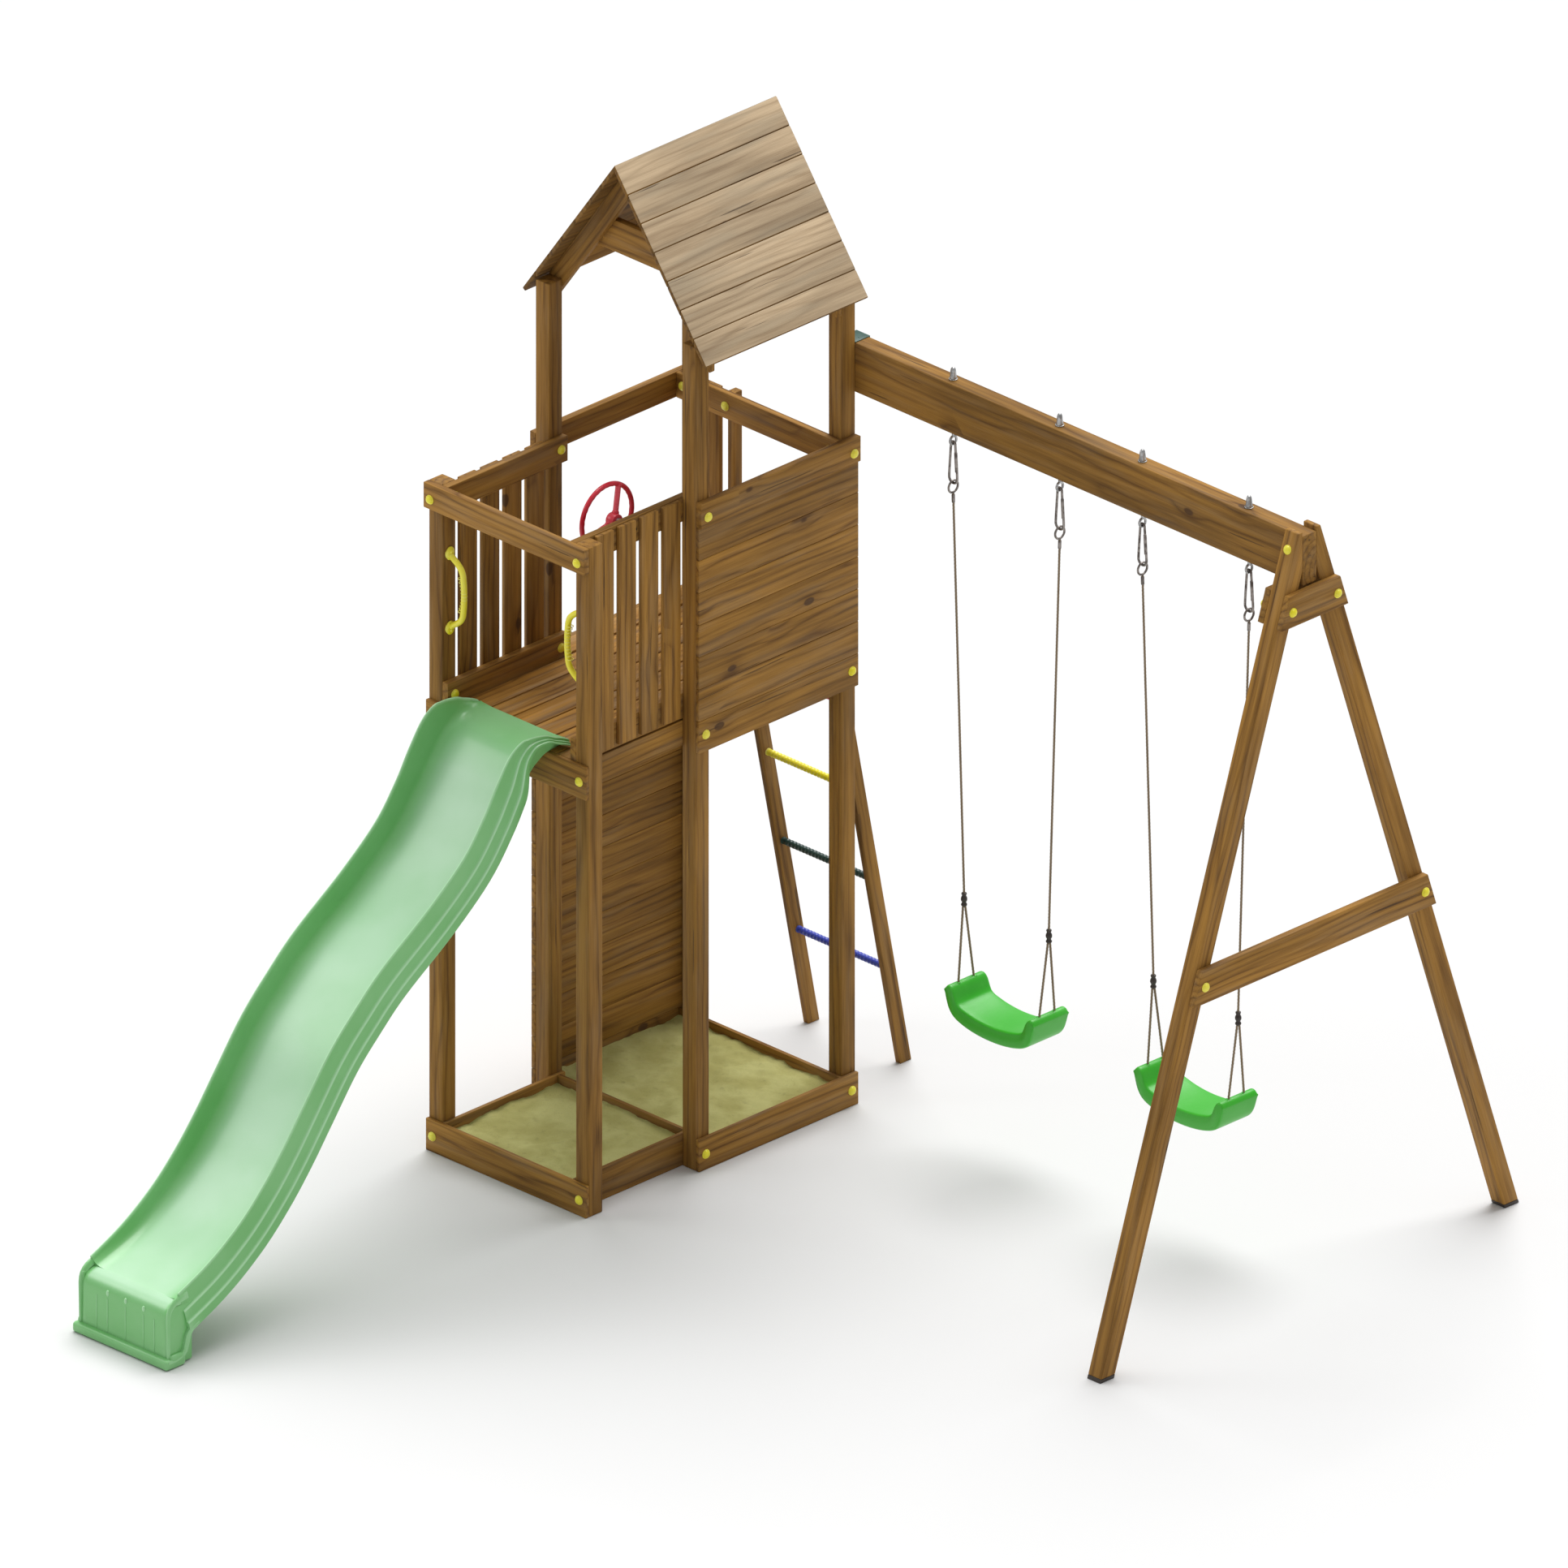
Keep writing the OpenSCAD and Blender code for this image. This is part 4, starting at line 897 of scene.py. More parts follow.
def twisted_rope(name, a, b):
    """A three-strand rope between two points, and the points of its centreline."""
    length = (b - a).length
    turn = 0.034
    rings = max(12, int(length / turn * 8))
    way = (b - a).normalized()
    side = way.cross(Vector((1, 0.2, 0))).normalized()
    other = way.cross(side)
    radius = ROPE_RADIUS * MM
    rows = []
    for i in range(rings + 1):
        along = length * i / rings
        row = []
        for k in range(12):
            angle = math.tau * k / 12
            swell = radius * (0.87 + 0.13 * math.cos(3 * (angle - math.tau * along / turn)))
            row.append(a + way * along + (side * math.cos(angle) + other * math.sin(angle)) * swell)
        rows.append(row)
    obj = cap_ends(grid_surface(name, rows, closed=True))
    lay = obj.data.attributes.new("lay", "FLOAT_VECTOR", "POINT")
    for i, vertex in enumerate(obj.data.vertices):
        p = vertex.co - a
        angle = math.atan2(p.dot(other), p.dot(side))
        along = p.dot(way)
        phase = 3 * (angle - math.tau * along / turn)
        lay.data[i].vector = Vector((math.cos(phase), along * 40, math.sin(phase)))
    smooth(obj, 70)
    steps = 24
    path = [a + (b - a) * (i / steps) for i in range(steps + 1)]
    return dress(obj, FINISH["rope"]), path


def build_ropes(swing):
    """The long rope and the two strands on each side of one swing."""
    middle = swing_middle(swing)
    node = swing + "_ropes"
    for s, side in ((-1, "left"), (1, "right")):
        long_ends = (at(middle.x + s * HANG_HALF, middle.y, ROPE_TOP),
                     at(middle.x + s * ADJUSTER_HALF, middle.y, ADJUSTER_Z + ADJUSTER_REACH))
        runs = [("long", long_ends)]
        for k, place in ((-1, "front"), (1, "back")):
            runs.append((place, (at(middle.x + s * ADJUSTER_HALF, middle.y + k * STRAND_GAP,
                                    ADJUSTER_Z - ADJUSTER_REACH),
                                 at(middle.x + s * SEAT_HOLE_HALF, middle.y + k * STRAND_SPREAD,
                                    STRAND_FOOT))))
        for place, (a, b) in runs:
            rope, path = twisted_rope(f"{swing}_rope_{side}_{place}", a, b)
            fit(rope, swing, "rope", node)


def build_adjusters(swing):
    middle = swing_middle(swing)
    outline = [(0.0, 22), (6.2, 22), (8.0, 20.6), (8.4, 17.5), (7.0, 14.5), (6.4, 12.6), (7.2, 10), (9.2, 6),
               (9.9, 2.2), (9.9, -1.2), (9.0, -4.6), (7.2, -8), (6.4, -10.4), (7.4, -13), (9.3, -16.2),
               (9.4, -19), (8.0, -21.4), (5.4, -22), (0.0, -22)]
    parts = []
    for s in (-1, 1):
        parts.append(turned([(r * MM, h * MM) for r, h in outline],
                            at(middle.x + s * ADJUSTER_HALF, middle.y, ADJUSTER_Z), Vector((0, 0, 1)), 28))
    piece = smooth(join(parts, swing + "_rope_adjusters"), 60)
    return fit(dress(piece, FINISH["black"]), swing, "black_plastic", swing + "_adjusters")


def build_hooks(swing):
    """The two snap hooks with their gates, and the ring on each."""
    middle = swing_middle(swing)
    parts = []
    for s in (-1, 1):
        x = middle.x + s * HANG_HALF
        top, low = EYE_BAR, EYE_BAR - HOOK_LENGTH
        narrow, broad = 9.0, 17.0
        points = []
        for k in range(-6, 7):
            a = math.radians(90 + k * 15.6)
            points.append(at(x + narrow * math.cos(a), middle.y, top - narrow + narrow * math.sin(a)))
        for k in range(-5, 6):
            a = math.radians(270 + k * 17.4)
            points.append(at(x + broad * math.cos(a), middle.y, low + broad + broad * math.sin(a)))
        points.append(points[0])
        parts.append(tube_through(points, 3.9 * MM, "hook_wire", 5))
        gate_top = at(x + 10.6, middle.y, top - 34)
        gate_low = at(x + 14.4, middle.y, low + 40)
        parts.append(rod(gate_top, gate_low, 5.0 * MM, 20, 1.2 * MM))
        parts.append(ring(at(x, middle.y, RING_Z), Euler((0, math.pi / 2, 0)), RING_RADIUS * MM,
                          RING_WIRE * MM,
                          40, 14))
        # the whipped eye at the top of the rope
        parts.append(rod(at(x, middle.y, ROPE_TOP - 3), at(x - s * 0.9, middle.y, ROPE_TOP - 30), 5.4 * MM,
                         18,
                         1.5 * MM))
    piece = smooth(join(parts, swing + "_snap_hooks"), 50)
    return fit(dress(piece, FINISH["hook"]), swing, "hook_steel", swing + "_hooks")


def seat_heights(x, half):
    """The seat's upper and lower height above its lowest point, at x from its middle."""
    u = abs(x)
    top_knots = [(0, 53), (60, 57), (100, 64.5), (128, 73), (140, 82), (148, 98), (154, 114), (160, 123),
                 (168, 128),
                 (178, 127.5), (185, 122), (190, 113)]
    low_knots = [(0, 0), (60, 3.5), (110, 13), (145, 26), (160, 37), (172, 54), (182, 82), (188, 103), (190,
                                                                                                        111)]

    def read(knots):
        u_scaled = min(u * 190 / half, 190)
        slopes = [(vb - va) / (b - a) for (a, va), (b, vb) in zip(knots, knots[1:])]
        for i, ((a, va), (b, vb)) in enumerate(zip(knots, knots[1:])):
            if u_scaled <= b:
                # a cubic through the knots, level in the middle of the seat
                m0 = (slopes[i - 1] + slopes[i]) / 2 if i else 0.0
                m1 = (slopes[i] + slopes[i + 1]) / 2 if i + 1 < len(slopes) else slopes[i]
                w = b - a
                t = (u_scaled - a) / w
                return ((2 * t ** 3 - 3 * t * t + 1) * va + (t ** 3 - 2 * t * t + t) * w * m0
                        + (3 * t * t - 2 * t ** 3) * vb + (t ** 3 - t * t) * w * m1)
        return knots[-1][1]
    return read(top_knots), read(low_knots)


def build_seat(swing):
    """A moulded seat that sags between two raised ends."""
    middle = swing_middle(swing)
    lo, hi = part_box(swing + "_seat")
    half = (hi.x - lo.x) / 2 / MM
    deep = (hi.y - lo.y) / 2 / MM
    stations = [-half + 0.4]
    count = 76
    for i in range(1, count):
        t = -math.cos(math.pi * i / count)
        stations.append(half * (0.55 * t + 0.45 * t * abs(t) ** 0.3) if abs(t) > 1e-6 else 0.0)
    stations.append(half - 0.4)
    rows = []
    for x in sorted(stations):
        top, low = seat_heights(x, half)
        thick = max(top - low, 1.2)
        corner = min(11.0, thick * 0.45)
        shrink = 2.2 * (abs(x) / half) ** 8
        row = []
        edge = deep - shrink
        # across the top, round the back edge, across the underside, round the front edge
        spots = []
        for k in range(9):
            spots.append((-(edge - corner) + 2 * (edge - corner) * k / 8, top))
        for k in range(1, 5):
            a = math.pi / 2 * (1 - k / 5)
            spots.append((edge - corner + corner * math.cos(a), top - corner + corner * math.sin(a)))
        for k in range(1, 5):
            a = -math.pi / 2 * k / 5
            spots.append((edge - corner + corner * math.cos(a), low + corner + corner * math.sin(a)))
        for k in range(9):
            spots.append(((edge - corner) - 2 * (edge - corner) * k / 8, low))
        for k in range(1, 5):
            a = -math.pi / 2 - math.pi / 2 * k / 5
            spots.append((-(edge - corner) + corner * math.cos(a), low + corner + corner * math.sin(a)))
        for k in range(1, 5):
            a = math.pi - math.pi / 2 * k / 5
            spots.append((-(edge - corner) + corner * math.cos(a), top - corner + corner * math.sin(a)))
        for y, z in spots:
            row.append(at(middle.x + x, middle.y + y, SEAT_BOTTOM + z))
        rows.append(row)
    shell = cap_ends(grid_surface(swing + "_seat_shell", rows, closed=True))
    smooth(shell, 55)
    parts = [shell]
    for s in (-1, 1):
        for k in (-1, 1):
            where = at(middle.x + s * (SEAT_HOLE_HALF + 0.6), middle.y + k * (STRAND_SPREAD - 1.5),
                       SEAT_END - 1.6)
            parts.append(ring(where, Euler((0, 0, 0)), 6.4 * MM, 1.9 * MM, 24, 10))
    piece = smooth(join(parts, swing + "_seat_moulding"), 55)
    return fit(dress(piece, FINISH["seat"]), swing, "seat_plastic", swing + "_seat")


def build_eye_bolts():
    """Eye bolts with washers and nuts, in place of the plain ones."""
    beam_lo, beam_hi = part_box("swing_beam")
    parts = []
    for swing in SWINGS:
        middle = swing_middle(swing)
        for s in (-1, 1):
            x = middle.x + s * HANG_HALF
            eye = EYE_BAR + 4.7
            parts.append(ring(at(x, middle.y, eye), Euler((0, math.pi / 2, 0)), 13 * MM, 4 * MM, 36, 14))
            parts.append(rod(at(x, middle.y, eye + 13), at(x, middle.y, beam_hi.z / MM + 20), 4.9 * MM, 20,
                             1 * MM))
            parts.append(rod(at(x, middle.y, beam_hi.z / MM), at(x, middle.y, beam_hi.z / MM + 3), 14 * MM,
                             32,
                             0.8 * MM))
            dome = [(0, 2), (11.5, 2), (11.5, 6), (10.6, 9), (8.6, 28), (7.6, 34), (5.2, 38), (2.4, 39.6),
                    (0, 40)]
            parts.append(turned([(r * MM, h * MM) for r, h in dome], at(x, middle.y, beam_hi.z / MM),
                                Vector((0, 0, 1)), 28))
            parts.append(rod(at(x, middle.y, beam_lo.z / MM - 5), at(x, middle.y, beam_lo.z / MM), 12 * MM,
                             32,
                             1.2 * MM))
    piece = smooth(join(parts, "Eye_bolts"), 40)
    return fit(dress(piece, FINISH["steel"]), "frame", "steel", "eye_bolts")


# ---------- small fittings ----------

def cap_places():
    """Where each screw head is and which way it looks, from the screws' own solids."""
    source = frame["nodes"]["coach_screws"]
    obj = bpy.data.objects.new("screws_copy", source.data.copy())
    bpy.context.scene.collection.objects.link(obj)
    only(obj)
    bpy.ops.object.mode_set(mode="EDIT")
    bpy.ops.mesh.select_all(action="SELECT")
    bpy.ops.mesh.remove_doubles(threshold=1e-5)
    bpy.ops.mesh.separate(type="LOOSE")
    bpy.ops.object.mode_set(mode="OBJECT")
    screws = list(bpy.context.selected_objects)
    places = []
    for screw in screws:
        points = [v.co.copy() for v in screw.data.vertices]
        middle = sum(points, Vector()) / len(points)
        far = max(points, key=lambda p: (p - middle).length)
        other = max(points, key=lambda p: (p - far).length)
        # the ends' rims give the two end planes; their middles give the axis
        guess = (far - other).normalized()
        near_a = [p for p in points if (far - p).dot(guess) < 0.006]
        near_b = [p for p in points if (p - other).dot(guess) < 0.006]
        a = sum(near_a, Vector()) / len(near_a)
        b = sum(near_b, Vector()) / len(near_b)
        spread_a = max((p - a).length for p in near_a)
        spread_b = max((p - b).length for p in near_b)
        head, tip = (a, b) if spread_a > spread_b else (b, a)
        way = (head - tip).normalized()
        snapped = Vector([round(c) if abs(abs(c) - 1) < 0.03 or abs(c) < 0.06 else c for c in way]).normalized()
        top = max(p.dot(snapped) for p in points)
        axis_point = sum(points, Vector()) / len(points)
        base = axis_point + snapped * (top - 5 * MM - axis_point.dot(snapped))
        places.append((base, snapped))
        bpy.data.objects.remove(screw)
    return sorted(places, key=lambda p: tuple(round(c, 4) for c in p[0]))


def build_screw_caps():
    """Domed caps with a flat rim over the heads of the coach screws."""
    outline = [(15.0, 0.0), (15.0, 2.2), (14.5, 3.1), (13.4, 3.4), (12.9, 3.9), (12.3, 5.6), (10.8, 7.6),
               (8.4, 9.4),
               (5.4, 10.5), (2.6, 10.9), (0.0, 11.0)]
    cap = turned([(r * MM, h * MM) for r, h in outline], Vector((0, 0, 0)), Vector((0, 0, 1)), 32)
    smooth(cap, 38)
    parts = []
    for base, way in cap_places():
        copy = bpy.data.objects.new("cap", cap.data.copy())
        bpy.context.scene.collection.objects.link(copy)
        copy.matrix_world = Matrix.Translation(base) @ way.to_track_quat("Z", "X").to_matrix().to_4x4()
        parts.append(settle(copy))
    bpy.data.objects.remove(cap)
    piece = join(parts, "Screw_caps")
    return fit(dress(piece, FINISH["yellow"]), "frame", "yellow_plastic", "screw_caps")


def handle_piece(x, s, z):
    """A bowed grab handle; s is the direction in X that it stands out."""
    grip = [(9, -118), (16, -112), (36, -99), (55, -78), (62, -45), (64, 0), (62, 45), (55, 78), (36, 99),
            (16, 112),
            (9, 118)]
    bow = tube_through([at(x + s * out, 0, z + up) for out, up in grip], 9.6 * MM, "bow", 6)
    parts = [bow]
    for k in (-1, 1):
        foot = ball(at(x + s * 5, 0, z + k * 124), 20 * MM, (0.42, 0.86, 1.12), 28, 16)
        parts.append(foot)
        parts.append(rod(at(x, 0, z + k * 124), at(x + s * 6, 0, z + k * 124), 18.5 * MM, 32, 2 * MM))
        parts.append(ball(at(x + s * 12.2, 0, z + k * 130), 6 * MM, (0.5, 1, 1), 16, 10))
    for k in range(-5, 6):
        parts.append(ring(at(x + s * (64 - 0.012 * (k * 11) ** 2 * 0.35), 0, z + k * 11), Euler((0, 0, 0)),
                          9.1 * MM,
                          1.3 * MM, 24, 8))
    return parts


def build_handles():
    lo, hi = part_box("grab_handles")
    z = (lo.z + hi.z) / 2 / MM
    left = (lo.x - ORIGIN.x) / MM
    right = (hi.x - ORIGIN.x) / MM
    piece = join(handle_piece(left, 1, z) + handle_piece(right, -1, z), "Grab_handles")
    smooth(piece, 50)
    return fit(dress(piece, FINISH["yellow"]), "frame", "yellow_plastic", "grab_handles")


def build_wheel():
    """The steering wheel: a rim with finger swells, three spokes and a domed hub."""
    hinge = HINGES["wheel"]
    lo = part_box("steering_wheel")[0]
    rim_radius = 106 * MM
    tube = 7.6 * MM
    rim_x = lo.x + 8 * MM
    clear()
    bpy.ops.mesh.primitive_torus_add(location=(0, 0, 0), major_radius=rim_radius, minor_radius=tube,
                                     major_segments=144, minor_segments=16)
    rim = active()
    for vertex in rim.data.vertices:
        p = vertex.co
        angle = math.atan2(p.y, p.x)
        centre = Vector((math.cos(angle), math.sin(angle), 0)) * rim_radius
        off = p - centre
        inward = off.dot(centre.normalized()) < -0.2 * tube
        swell = 1 + (0.10 * (0.5 + 0.5 * math.cos(angle * 30)) if inward else 0.0)
        vertex.co = centre + off * swell
    rim.matrix_world = Matrix.Translation((rim_x, hinge.y, hinge.z)) @ Euler((0, math.pi / 2,
                                                                              0)).to_matrix().to_4x4()
    parts = [settle(rim)]
    hub_mid = hinge.x
    outline = [(6.1, -15), (21, -15), (22, -14), (22, 13.4), (21, 15), (13.2, 15), (13.0, 14), (12.9, 0.4),
               (6.1, 0.2)]
    hub = turned([(r * MM, -h * MM) for r, h in outline + [outline[0]]], Vector((hub_mid, hinge.y, hinge.z)),
                 Vector((1, 0, 0)), 40)
    parts.append(hub)
    for turn in (62, 208, 315):
        a = math.radians(turn)
        out = Vector((0, math.cos(a), math.sin(a)))
        start = Vector((hub_mid - 2 * MM, hinge.y, hinge.z)) + out * 14 * MM
        end = Vector((rim_x, hinge.y, hinge.z)) + out * (rim_radius - 1 * MM)
        spoke = rod(start, end, 8.8 * MM, 20)
        parts.append(spoke)
        parts.append(ball(end - (end - start).normalized() * 3 * MM, 10.2 * MM, (1, 1, 1), 20, 12))
        parts.append(ball(start + (end - start).normalized() * 8 * MM, 11.5 * MM, (1, 1, 1), 20, 12))
    piece = smooth(join(parts, "Steering_wheel"), 50)
    return fit(dress(piece, FINISH["red"]), "wheel", "red_plastic", "steering_wheel")


def build_rung(node, finish, slot, name):
    """A ladder rung: a plastic tube with a collar at each end and shallow grip rings."""
    lo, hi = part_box(node)
    y, z = (lo.y + hi.y) / 2, (lo.z + hi.z) / 2
    r = (hi.z - lo.z) / 2 / MM
    length = (hi.x - lo.x) / MM
    outline = [(0, 0), (r, 0), (r, 5), (r - 0.9, 6.5)]
    grooves = 24
    start, end = 14, length - 14
    for k in range(grooves):
        at_k = start + (end - start) * (k + 0.5) / grooves
        outline += [(r - 0.9, at_k - 2.6), (r - 0.15, at_k - 1.4), (r - 0.15, at_k + 1.4), (r - 0.9,
                                                                                            at_k + 2.6)]
    outline += [(r - 0.9, length - 6.5), (r, length - 5), (r, length), (0, length)]
    piece = turned([(a * MM, b * MM) for a, b in outline], Vector((lo.x, y, z)), Vector((1, 0, 0)), 28)
    piece.name = name
    smooth(piece, 40)
    return fit(dress(piece, FINISH[finish]), "frame", slot, node)


def build_holds():
    """Rock shaped climbing holds, each with its bolt."""
    source = frame["nodes"]["climbing_holds"]
    obj = bpy.data.objects.new("holds_copy", source.data.copy())
    bpy.context.scene.collection.objects.link(obj)
    only(obj)
    bpy.ops.object.mode_set(mode="EDIT")
    bpy.ops.mesh.select_all(action="SELECT")
    bpy.ops.mesh.remove_doubles(threshold=1e-5)
    bpy.ops.mesh.separate(type="LOOSE")
    bpy.ops.object.mode_set(mode="OBJECT")
    places = []
    for hold in list(bpy.context.selected_objects):
        points = [v.co for v in hold.data.vertices]
        low = Vector([min(p[i] for p in points) for i in range(3)])
        high = Vector([max(p[i] for p in points) for i in range(3)])
        places.append((low, high))
    for hold in list(bpy.context.selected_objects):
        bpy.data.objects.remove(hold)
    places.sort(key=lambda p: (round(p[0].z, 3), round(p[0].y, 3)))
    parts = []
    for n, (low, high) in enumerate(places):
        base = Vector((high.x, (low.y + high.y) / 2, (low.z + high.z) / 2))
        reach = high.x - low.x
        wide = (high.y - low.y) / 2
        clear()
        bpy.ops.mesh.primitive_uv_sphere_add(segments=40, ring_count=24, radius=1, location=(0, 0, 0))
        rock = active()
        for vertex in rock.data.vertices:
            p = vertex.co.copy()
            lump = 1 + 0.16 * noise.noise(p * 1.6 + Vector((n * 7.1, 0, 0))) + 0.05 * noise.noise(p * 4.5)
            scoop = 0.18 * max(0.0, p.z) * max(0.0, -p.x)
            p = p * min(lump, 1.1) * 0.9
            vertex.co = base + Vector((min(p.x, 0.0) * reach * (1.05 - scoop), p.y * wide * 1.02,
                                       p.z * wide * 0.96))
        parts.append(outwards(rock))
        parts.append(rod(base + Vector((-reach * 0.9, 0, 0)), base + Vector((-reach * 0.99, 0, 0)), 8 * MM,
                         24,
                         1 * MM))
    piece = smooth(join(parts, "Climbing_holds"), 50)
    return fit(dress(piece, FINISH["red"]), "frame", "red_plastic", "climbing_holds")


def build_pads():
    pads = []
    for pad in loose_boards("leg_pads"):
        pads.append(bevel(pad, 2 * MM, 3, 25))
    piece = smooth(join(pads, "Leg_pads"), 40)
    return fit(dress(piece, FINISH["black"]), "frame", "black_plastic", "leg_pads")


def build_bracket():
    """The painted steel angle on the beam's end, with two screw heads."""
    lo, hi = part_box("beam_bracket")
    steel = 3 * MM
    top = box(Vector((lo.x, lo.y, hi.z - steel)), hi.copy())
    side = box(Vector((lo.x, hi.y - steel, lo.z)), Vector((hi.x, hi.y, hi.z - steel)))
    parts = [bevel(top, 1 * MM, 2, 40), bevel(side, 1 * MM, 2, 40)]
    for x in (lo.x + 14 * MM, hi.x - 14 * MM):
        parts.append(ball(Vector((x, (lo.y + hi.y) / 2, hi.z - 1.5 * MM)), 6 * MM, (1, 1, 0.5), 20, 10))
    piece = smooth(join(parts, "Beam_bracket"), 40)
    return fit(dress(piece, FINISH["bracket"]), "frame", "green_steel", "beam_bracket")


def keep_nodes():
    """Gives the CAD nodes that stay their finish."""
    for node in ("coach_screws", "wheel_axle"):
        dress(frame["nodes"][node], FINISH["steel"])


# ---------- stage ----------

VIEW_TURN, VIEW_RISE, VIEW_WIDTH = 45.0, 25.72, 4.704


def build_camera():
    target = at(331, 807, 1156)
    turn, rise = math.radians(VIEW_TURN), math.radians(VIEW_RISE)
    back = Vector((math.sin(turn) * math.cos(rise), -math.cos(turn) * math.cos(rise), math.sin(rise)))
    data = bpy.data.cameras.new("Camera")
    data.type = "ORTHO"
    data.ortho_scale = VIEW_WIDTH
    data.clip_end = 60
    camera = bpy.data.objects.new("Camera", data)
    bpy.context.scene.collection.objects.link(camera)
    camera.location = target + back * 9
    camera.rotation_euler = back.to_track_quat("Z", "Y").to_euler()
    bpy.context.scene.camera = camera


def area_light(name, where, look_at, size, power, color=(1, 1, 1)):
    data = bpy.data.lights.new(name, "AREA")
    data.shape = "SQUARE"
    data.size = size
    data.energy = power
    data.color = color
    light = bpy.data.objects.new(name, data)
    bpy.context.scene.collection.objects.link(light)
    light.location = where
    light.rotation_euler = (where - look_at).to_track_quat("Z", "Y").to_euler()


def build_stage(look):
    build_camera()
    clear()
    bpy.ops.mesh.primitive_plane_add(size=60, location=(0, 0, -0.0005))
    floor = dress(active("Floor"), FINISH["floor"])
    settle(floor)
    sun = bpy.data.lights.new("Overhead light", "SUN")
    sun.energy = look.top_strength
    sun.angle = math.radians(48)
    light = bpy.data.objects.new("Overhead light", sun)
    bpy.context.scene.collection.objects.link(light)
    light.rotation_euler = Vector((-0.2, 0.42, 1.0)).to_track_quat("Z", "Y").to_euler()
    slide_mid = at(0, -800, 900)
    area_light("Sheen light", slide_mid + Vector((-0.64, -0.41, 0.62)) * 6, slide_mid, 2.6, look.sheen_power)
    world = bpy.data.worlds.new("Soft studio")
    bpy.context.scene.world = world
    world.use_nodes = True
    background = world.node_tree.nodes["Background"]
    background.inputs["Color"].default_value = (1, 1, 1, 1)
    background.inputs["Strength"].default_value = look.sky_strength
    bpy.context.scene.view_settings.view_transform = "Standard"


# ---------- settings ----------

def color_property(name, default, description):
    return bpy.props.FloatVectorProperty(name=name, description=description, default=default, size=4,
                                         subtype="COLOR", min=0, max=1)


class SwingSetLook(bpy.types.PropertyGroup):
    """Colours and light of the swing set."""
    early_wood: color_property("Early wood", (0.365, 0.18, 0.030, 1),
                               "Pale part of the timber's growth rings")
    late_wood: color_property("Late wood", (0.125, 0.052, 0.006, 1), "Dark part of the timber's growth rings")
    roof_early: color_property("Roof pale", (0.52, 0.39, 0.245, 1), "Pale part of the roof boards' grain")
    roof_late: color_property("Roof dark", (0.29, 0.20, 0.115, 1), "Dark part of the roof boards' grain")
    slide_green: color_property("Slide green", (0.165, 0.50, 0.15, 1), "Plastic of the slide")
    # the pale colour also paints the highlights on the slide's edges; the next colour paints the bed paler, for
    # wear and painted sheen
    slide_pale: color_property("Slide pale", (0.42, 0.74, 0.42, 1), "Raised edges of the slide")
    slide_wear_and_sheen: color_property("Slide wear and sheen", (0.42, 0.66, 0.44, 1), "Bed of the slide, paler from wear and painted sheen")
    seat_green: color_property("Seat green", (0.022, 0.40, 0.006, 1), "Plastic of the swing seats")
    yellow: color_property("Yellow", (0.84, 0.74, 0.006, 1), "Plastic of the caps, handles and top rung")
    red: color_property("Red", (0.60, 0.004, 0.024, 1), "Plastic of the steering wheel")
    sand_dry: color_property("Dry sand", (0.62, 0.60, 0.24, 1), "Sand at the surface")
    sand_damp: color_property("Damp sand", (0.50, 0.47, 0.165, 1), "Sand in the hollows")
    rope_pale: color_property("Pale rope", (0.34, 0.25, 0.15, 1), "Crests of the rope's strands")
    rope_dark: color_property("Dark rope", (0.16, 0.11, 0.06, 1), "Hollows of the rope's strands")
    top_strength: bpy.props.FloatProperty(name="Overhead light",
                                          description="Strength of the light from above",
                                          default=3.3, min=0)
    sheen_power: bpy.props.FloatProperty(name="Sheen light",
                                         description="Power of the light the slide mirrors",
                                         default=54, min=0, unit="POWER")
    sky_strength: bpy.props.FloatProperty(name="Sky", description="Strength of the even light all round",
                                          default=0.52, min=0)


class SwingSetSizes(bpy.types.PropertyGroup):
    """Small sizes that the frame leaves open."""
    post_edge: bpy.props.FloatProperty(name="Post edge", description="Rounding of the posts' edges",
                                       default=0.0032, min=0.0005, max=0.01, unit="LENGTH")
    board_edge: bpy.props.FloatProperty(name="Board edge", description="Rounding of the boards' edges",
                                        default=0.0022, min=0.0005, max=0.006, unit="LENGTH")


def look():
    return bpy.context.scene.swing_set_look


def sizes():
    return bpy.context.scene.swing_set_sizes


# ---------- operators ----------

class SWINGSET_OT_stage(bpy.types.Operator):
    """Make the finishes, the camera, the lights and the floor"""
    bl_idname = "swingset.stage"
    bl_label = "Stage and finishes"

    def execute(self, context):
        make_finishes(look())
        build_stage(look())
        return {"FINISHED"}


class SWINGSET_OT_ropes(bpy.types.Operator):
    """Lay the ropes of both swings"""
    bl_idname = "swingset.ropes"
    bl_label = "Swing ropes"

    def execute(self, context):
        for swing in SWINGS:
            build_ropes(swing)
        return {"FINISHED"}


class SWINGSET_OT_swings(bpy.types.Operator):
    """Make the hooks, adjusters and seats of both swings"""
    bl_idname = "swingset.swings"
    bl_label = "Swing seats and hooks"

    def execute(self, context):
        for swing in SWINGS:
            build_hooks(swing)
            build_adjusters(swing)
            build_seat(swing)
        build_eye_bolts()
        return {"FINISHED"}


class SWINGSET_OT_posts(bpy.types.Operator):
    """Make the six posts"""
    bl_idname = "swingset.posts"
    bl_label = "Posts"

    def execute(self, context):
        for place in ("front_left", "front_right", "mid_left", "mid_right", "back_left", "back_right"):
            timber("Post_" + place, ["post_" + place], FINISH["frame"], "timber", sizes().post_edge)
        return {"FINISHED"}


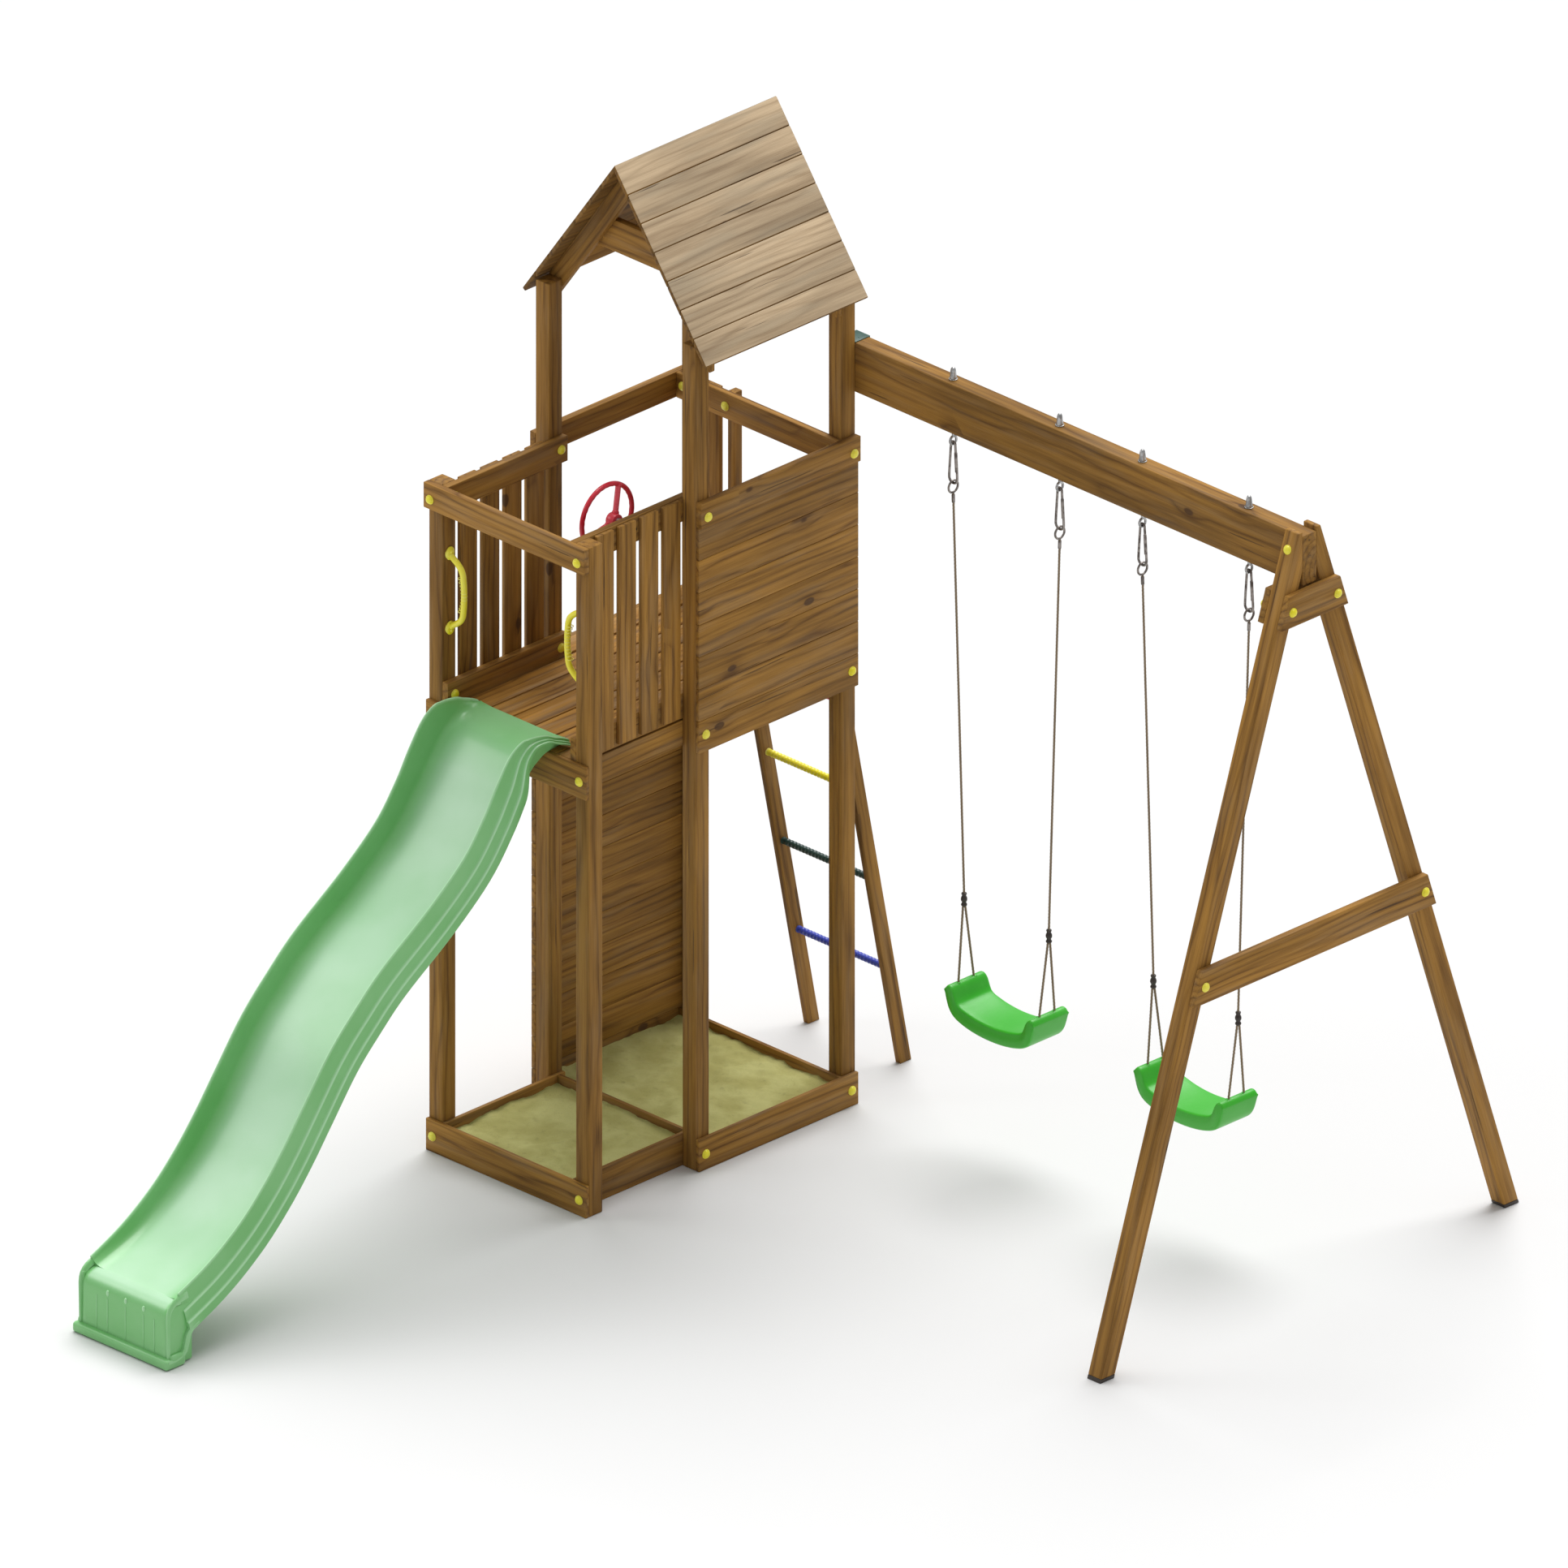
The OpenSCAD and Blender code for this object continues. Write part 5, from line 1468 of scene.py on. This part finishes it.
class SWINGSET_OT_sandbox(bpy.types.Operator):
    """Make the sandbox boards and the sand"""
    bl_idname = "swingset.sandbox"
    bl_label = "Sandbox"

    def execute(self, context):
        for node in ("sandbox_front_board", "sandbox_side_boards", "sandbox_right_board",
                     "sandbox_back_board",
                     "sandbox_divider"):
            timber(node.capitalize(), [node], FINISH["low"], "sandbox_timber", sizes().board_edge)
        sand_fill("Sand_front", "sand_front")
        sand_fill("Sand_back", "sand_back")
        return {"FINISHED"}


class SWINGSET_OT_deck(bpy.types.Operator):
    """Make the deck, its joists and its front board"""
    bl_idname = "swingset.deck"
    bl_label = "Deck"

    def execute(self, context):
        joists(sizes().board_edge)
        timber("Deck_boards", ["deck_boards"], FINISH["deck"], "deck_timber", sizes().board_edge)
        timber("Deck_front_board", ["deck_front_board"], FINISH["timber"], "timber", sizes().board_edge)
        return {"FINISHED"}


class SWINGSET_OT_guards(bpy.types.Operator):
    """Make the rails, slats, panel and climbing wall"""
    bl_idname = "swingset.guards"
    bl_label = "Rails and walls"

    def execute(self, context):
        for node in ("front_rail", "left_rails", "right_rails", "tower_left_rail", "tower_right_rail",
                     "back_rail",
                     "left_slats", "right_slats", "back_slats", "side_panel"):
            timber(node.capitalize(), [node], FINISH["timber"], "timber", sizes().board_edge)
        timber("Climbing_wall", ["climbing_wall"], FINISH["low"], "sandbox_timber", sizes().board_edge)
        build_holds()
        return {"FINISHED"}


class SWINGSET_OT_roof(bpy.types.Operator):
    """Make the roof boards, rafters and ties"""
    bl_idname = "swingset.roof"
    bl_label = "Roof"

    def execute(self, context):
        for side in ("left", "right"):
            boards = timber("Roof_boards_" + side, ["roof_boards_" + side], FINISH["roof"], "roof_timber",
                            sizes().board_edge * 1.4)
            boards.data.materials.append(FINISH["under"])
            # faces that do not face up get the darker underside material: painted shade
            for face in boards.data.polygons:
                if face.normal.z < 0.3:
                    face.material_index = 1
        timber("Rafters", ["rafters"], FINISH["timber"], "timber", sizes().board_edge, cut=ORIGIN.x)
        timber("Roof_ties", ["roof_ties"], FINISH["timber"], "timber", sizes().board_edge)
        return {"FINISHED"}


class SWINGSET_OT_beam(bpy.types.Operator):
    """Make the beam and its A-frame"""
    bl_idname = "swingset.beam"
    bl_label = "Beam and A-frame"

    def execute(self, context):
        for node in ("swing_beam", "leg_front", "leg_back"):
            timber(node.capitalize(), [node], FINISH["frame"], "timber", sizes().post_edge)
        for node in ("gussets", "leg_brace"):
            timber(node.capitalize(), [node], FINISH["timber"], "timber", sizes().board_edge)
        build_pads()
        build_bracket()
        return {"FINISHED"}


class SWINGSET_OT_ladder(bpy.types.Operator):
    """Make the ladder's sides and rungs"""
    bl_idname = "swingset.ladder"
    bl_label = "Ladder"

    def execute(self, context):
        timber("Ladder_sides", ["ladder_sides"], FINISH["timber"], "timber", sizes().board_edge)
        build_rung("rung_blue", "blue", "blue_plastic", "Rung_lowest")
        build_rung("rung_green", "green", "dark_green_plastic", "Rung_second")
        build_rung("rung_yellow", "yellow", "yellow_plastic", "Rung_third")
        build_rung("rung_red", "red", "red_plastic", "Rung_top")
        return {"FINISHED"}


class SWINGSET_OT_slide(bpy.types.Operator):
    """Make the slide"""
    bl_idname = "swingset.slide"
    bl_label = "Slide"

    def execute(self, context):
        build_slide()
        return {"FINISHED"}


class SWINGSET_OT_fittings(bpy.types.Operator):
    """Make the caps, handles and steering wheel"""
    bl_idname = "swingset.fittings"
    bl_label = "Fittings"

    def execute(self, context):
        build_screw_caps()
        build_handles()
        build_wheel()
        keep_nodes()
        return {"FINISHED"}


OPERATORS = (SWINGSET_OT_stage, SWINGSET_OT_ropes, SWINGSET_OT_swings, SWINGSET_OT_posts, SWINGSET_OT_sandbox,
             SWINGSET_OT_deck, SWINGSET_OT_guards, SWINGSET_OT_roof, SWINGSET_OT_beam, SWINGSET_OT_ladder,
             SWINGSET_OT_slide, SWINGSET_OT_fittings)


class SWINGSET_PT_panel(bpy.types.Panel):
    """Lists the swing set's pieces, sizes and colours"""
    bl_idname = "SWINGSET_PT_panel"
    bl_label = "Swing set"
    bl_space_type = "VIEW_3D"
    bl_region_type = "UI"
    bl_category = "Swing set"

    def draw(self, context):
        for operator in OPERATORS:
            self.layout.operator(operator.bl_idname)
        for group in (context.scene.swing_set_sizes, context.scene.swing_set_look):
            for name in group.__annotations__:
                self.layout.prop(group, name)


CLASSES = (SwingSetLook, SwingSetSizes) + OPERATORS + (SWINGSET_PT_panel,)


def register():
    for item in CLASSES:
        bpy.utils.register_class(item)
    bpy.types.Scene.swing_set_look = bpy.props.PointerProperty(type=SwingSetLook)
    bpy.types.Scene.swing_set_sizes = bpy.props.PointerProperty(type=SwingSetSizes)


def unregister():
    del bpy.types.Scene.swing_set_sizes
    del bpy.types.Scene.swing_set_look
    for item in reversed(CLASSES):
        bpy.utils.unregister_class(item)


def main():
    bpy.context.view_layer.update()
    register()
    for operator in OPERATORS:
        getattr(bpy.ops.swingset, operator.bl_idname.split(".")[1])()


if __name__ == "__main__":
    main()
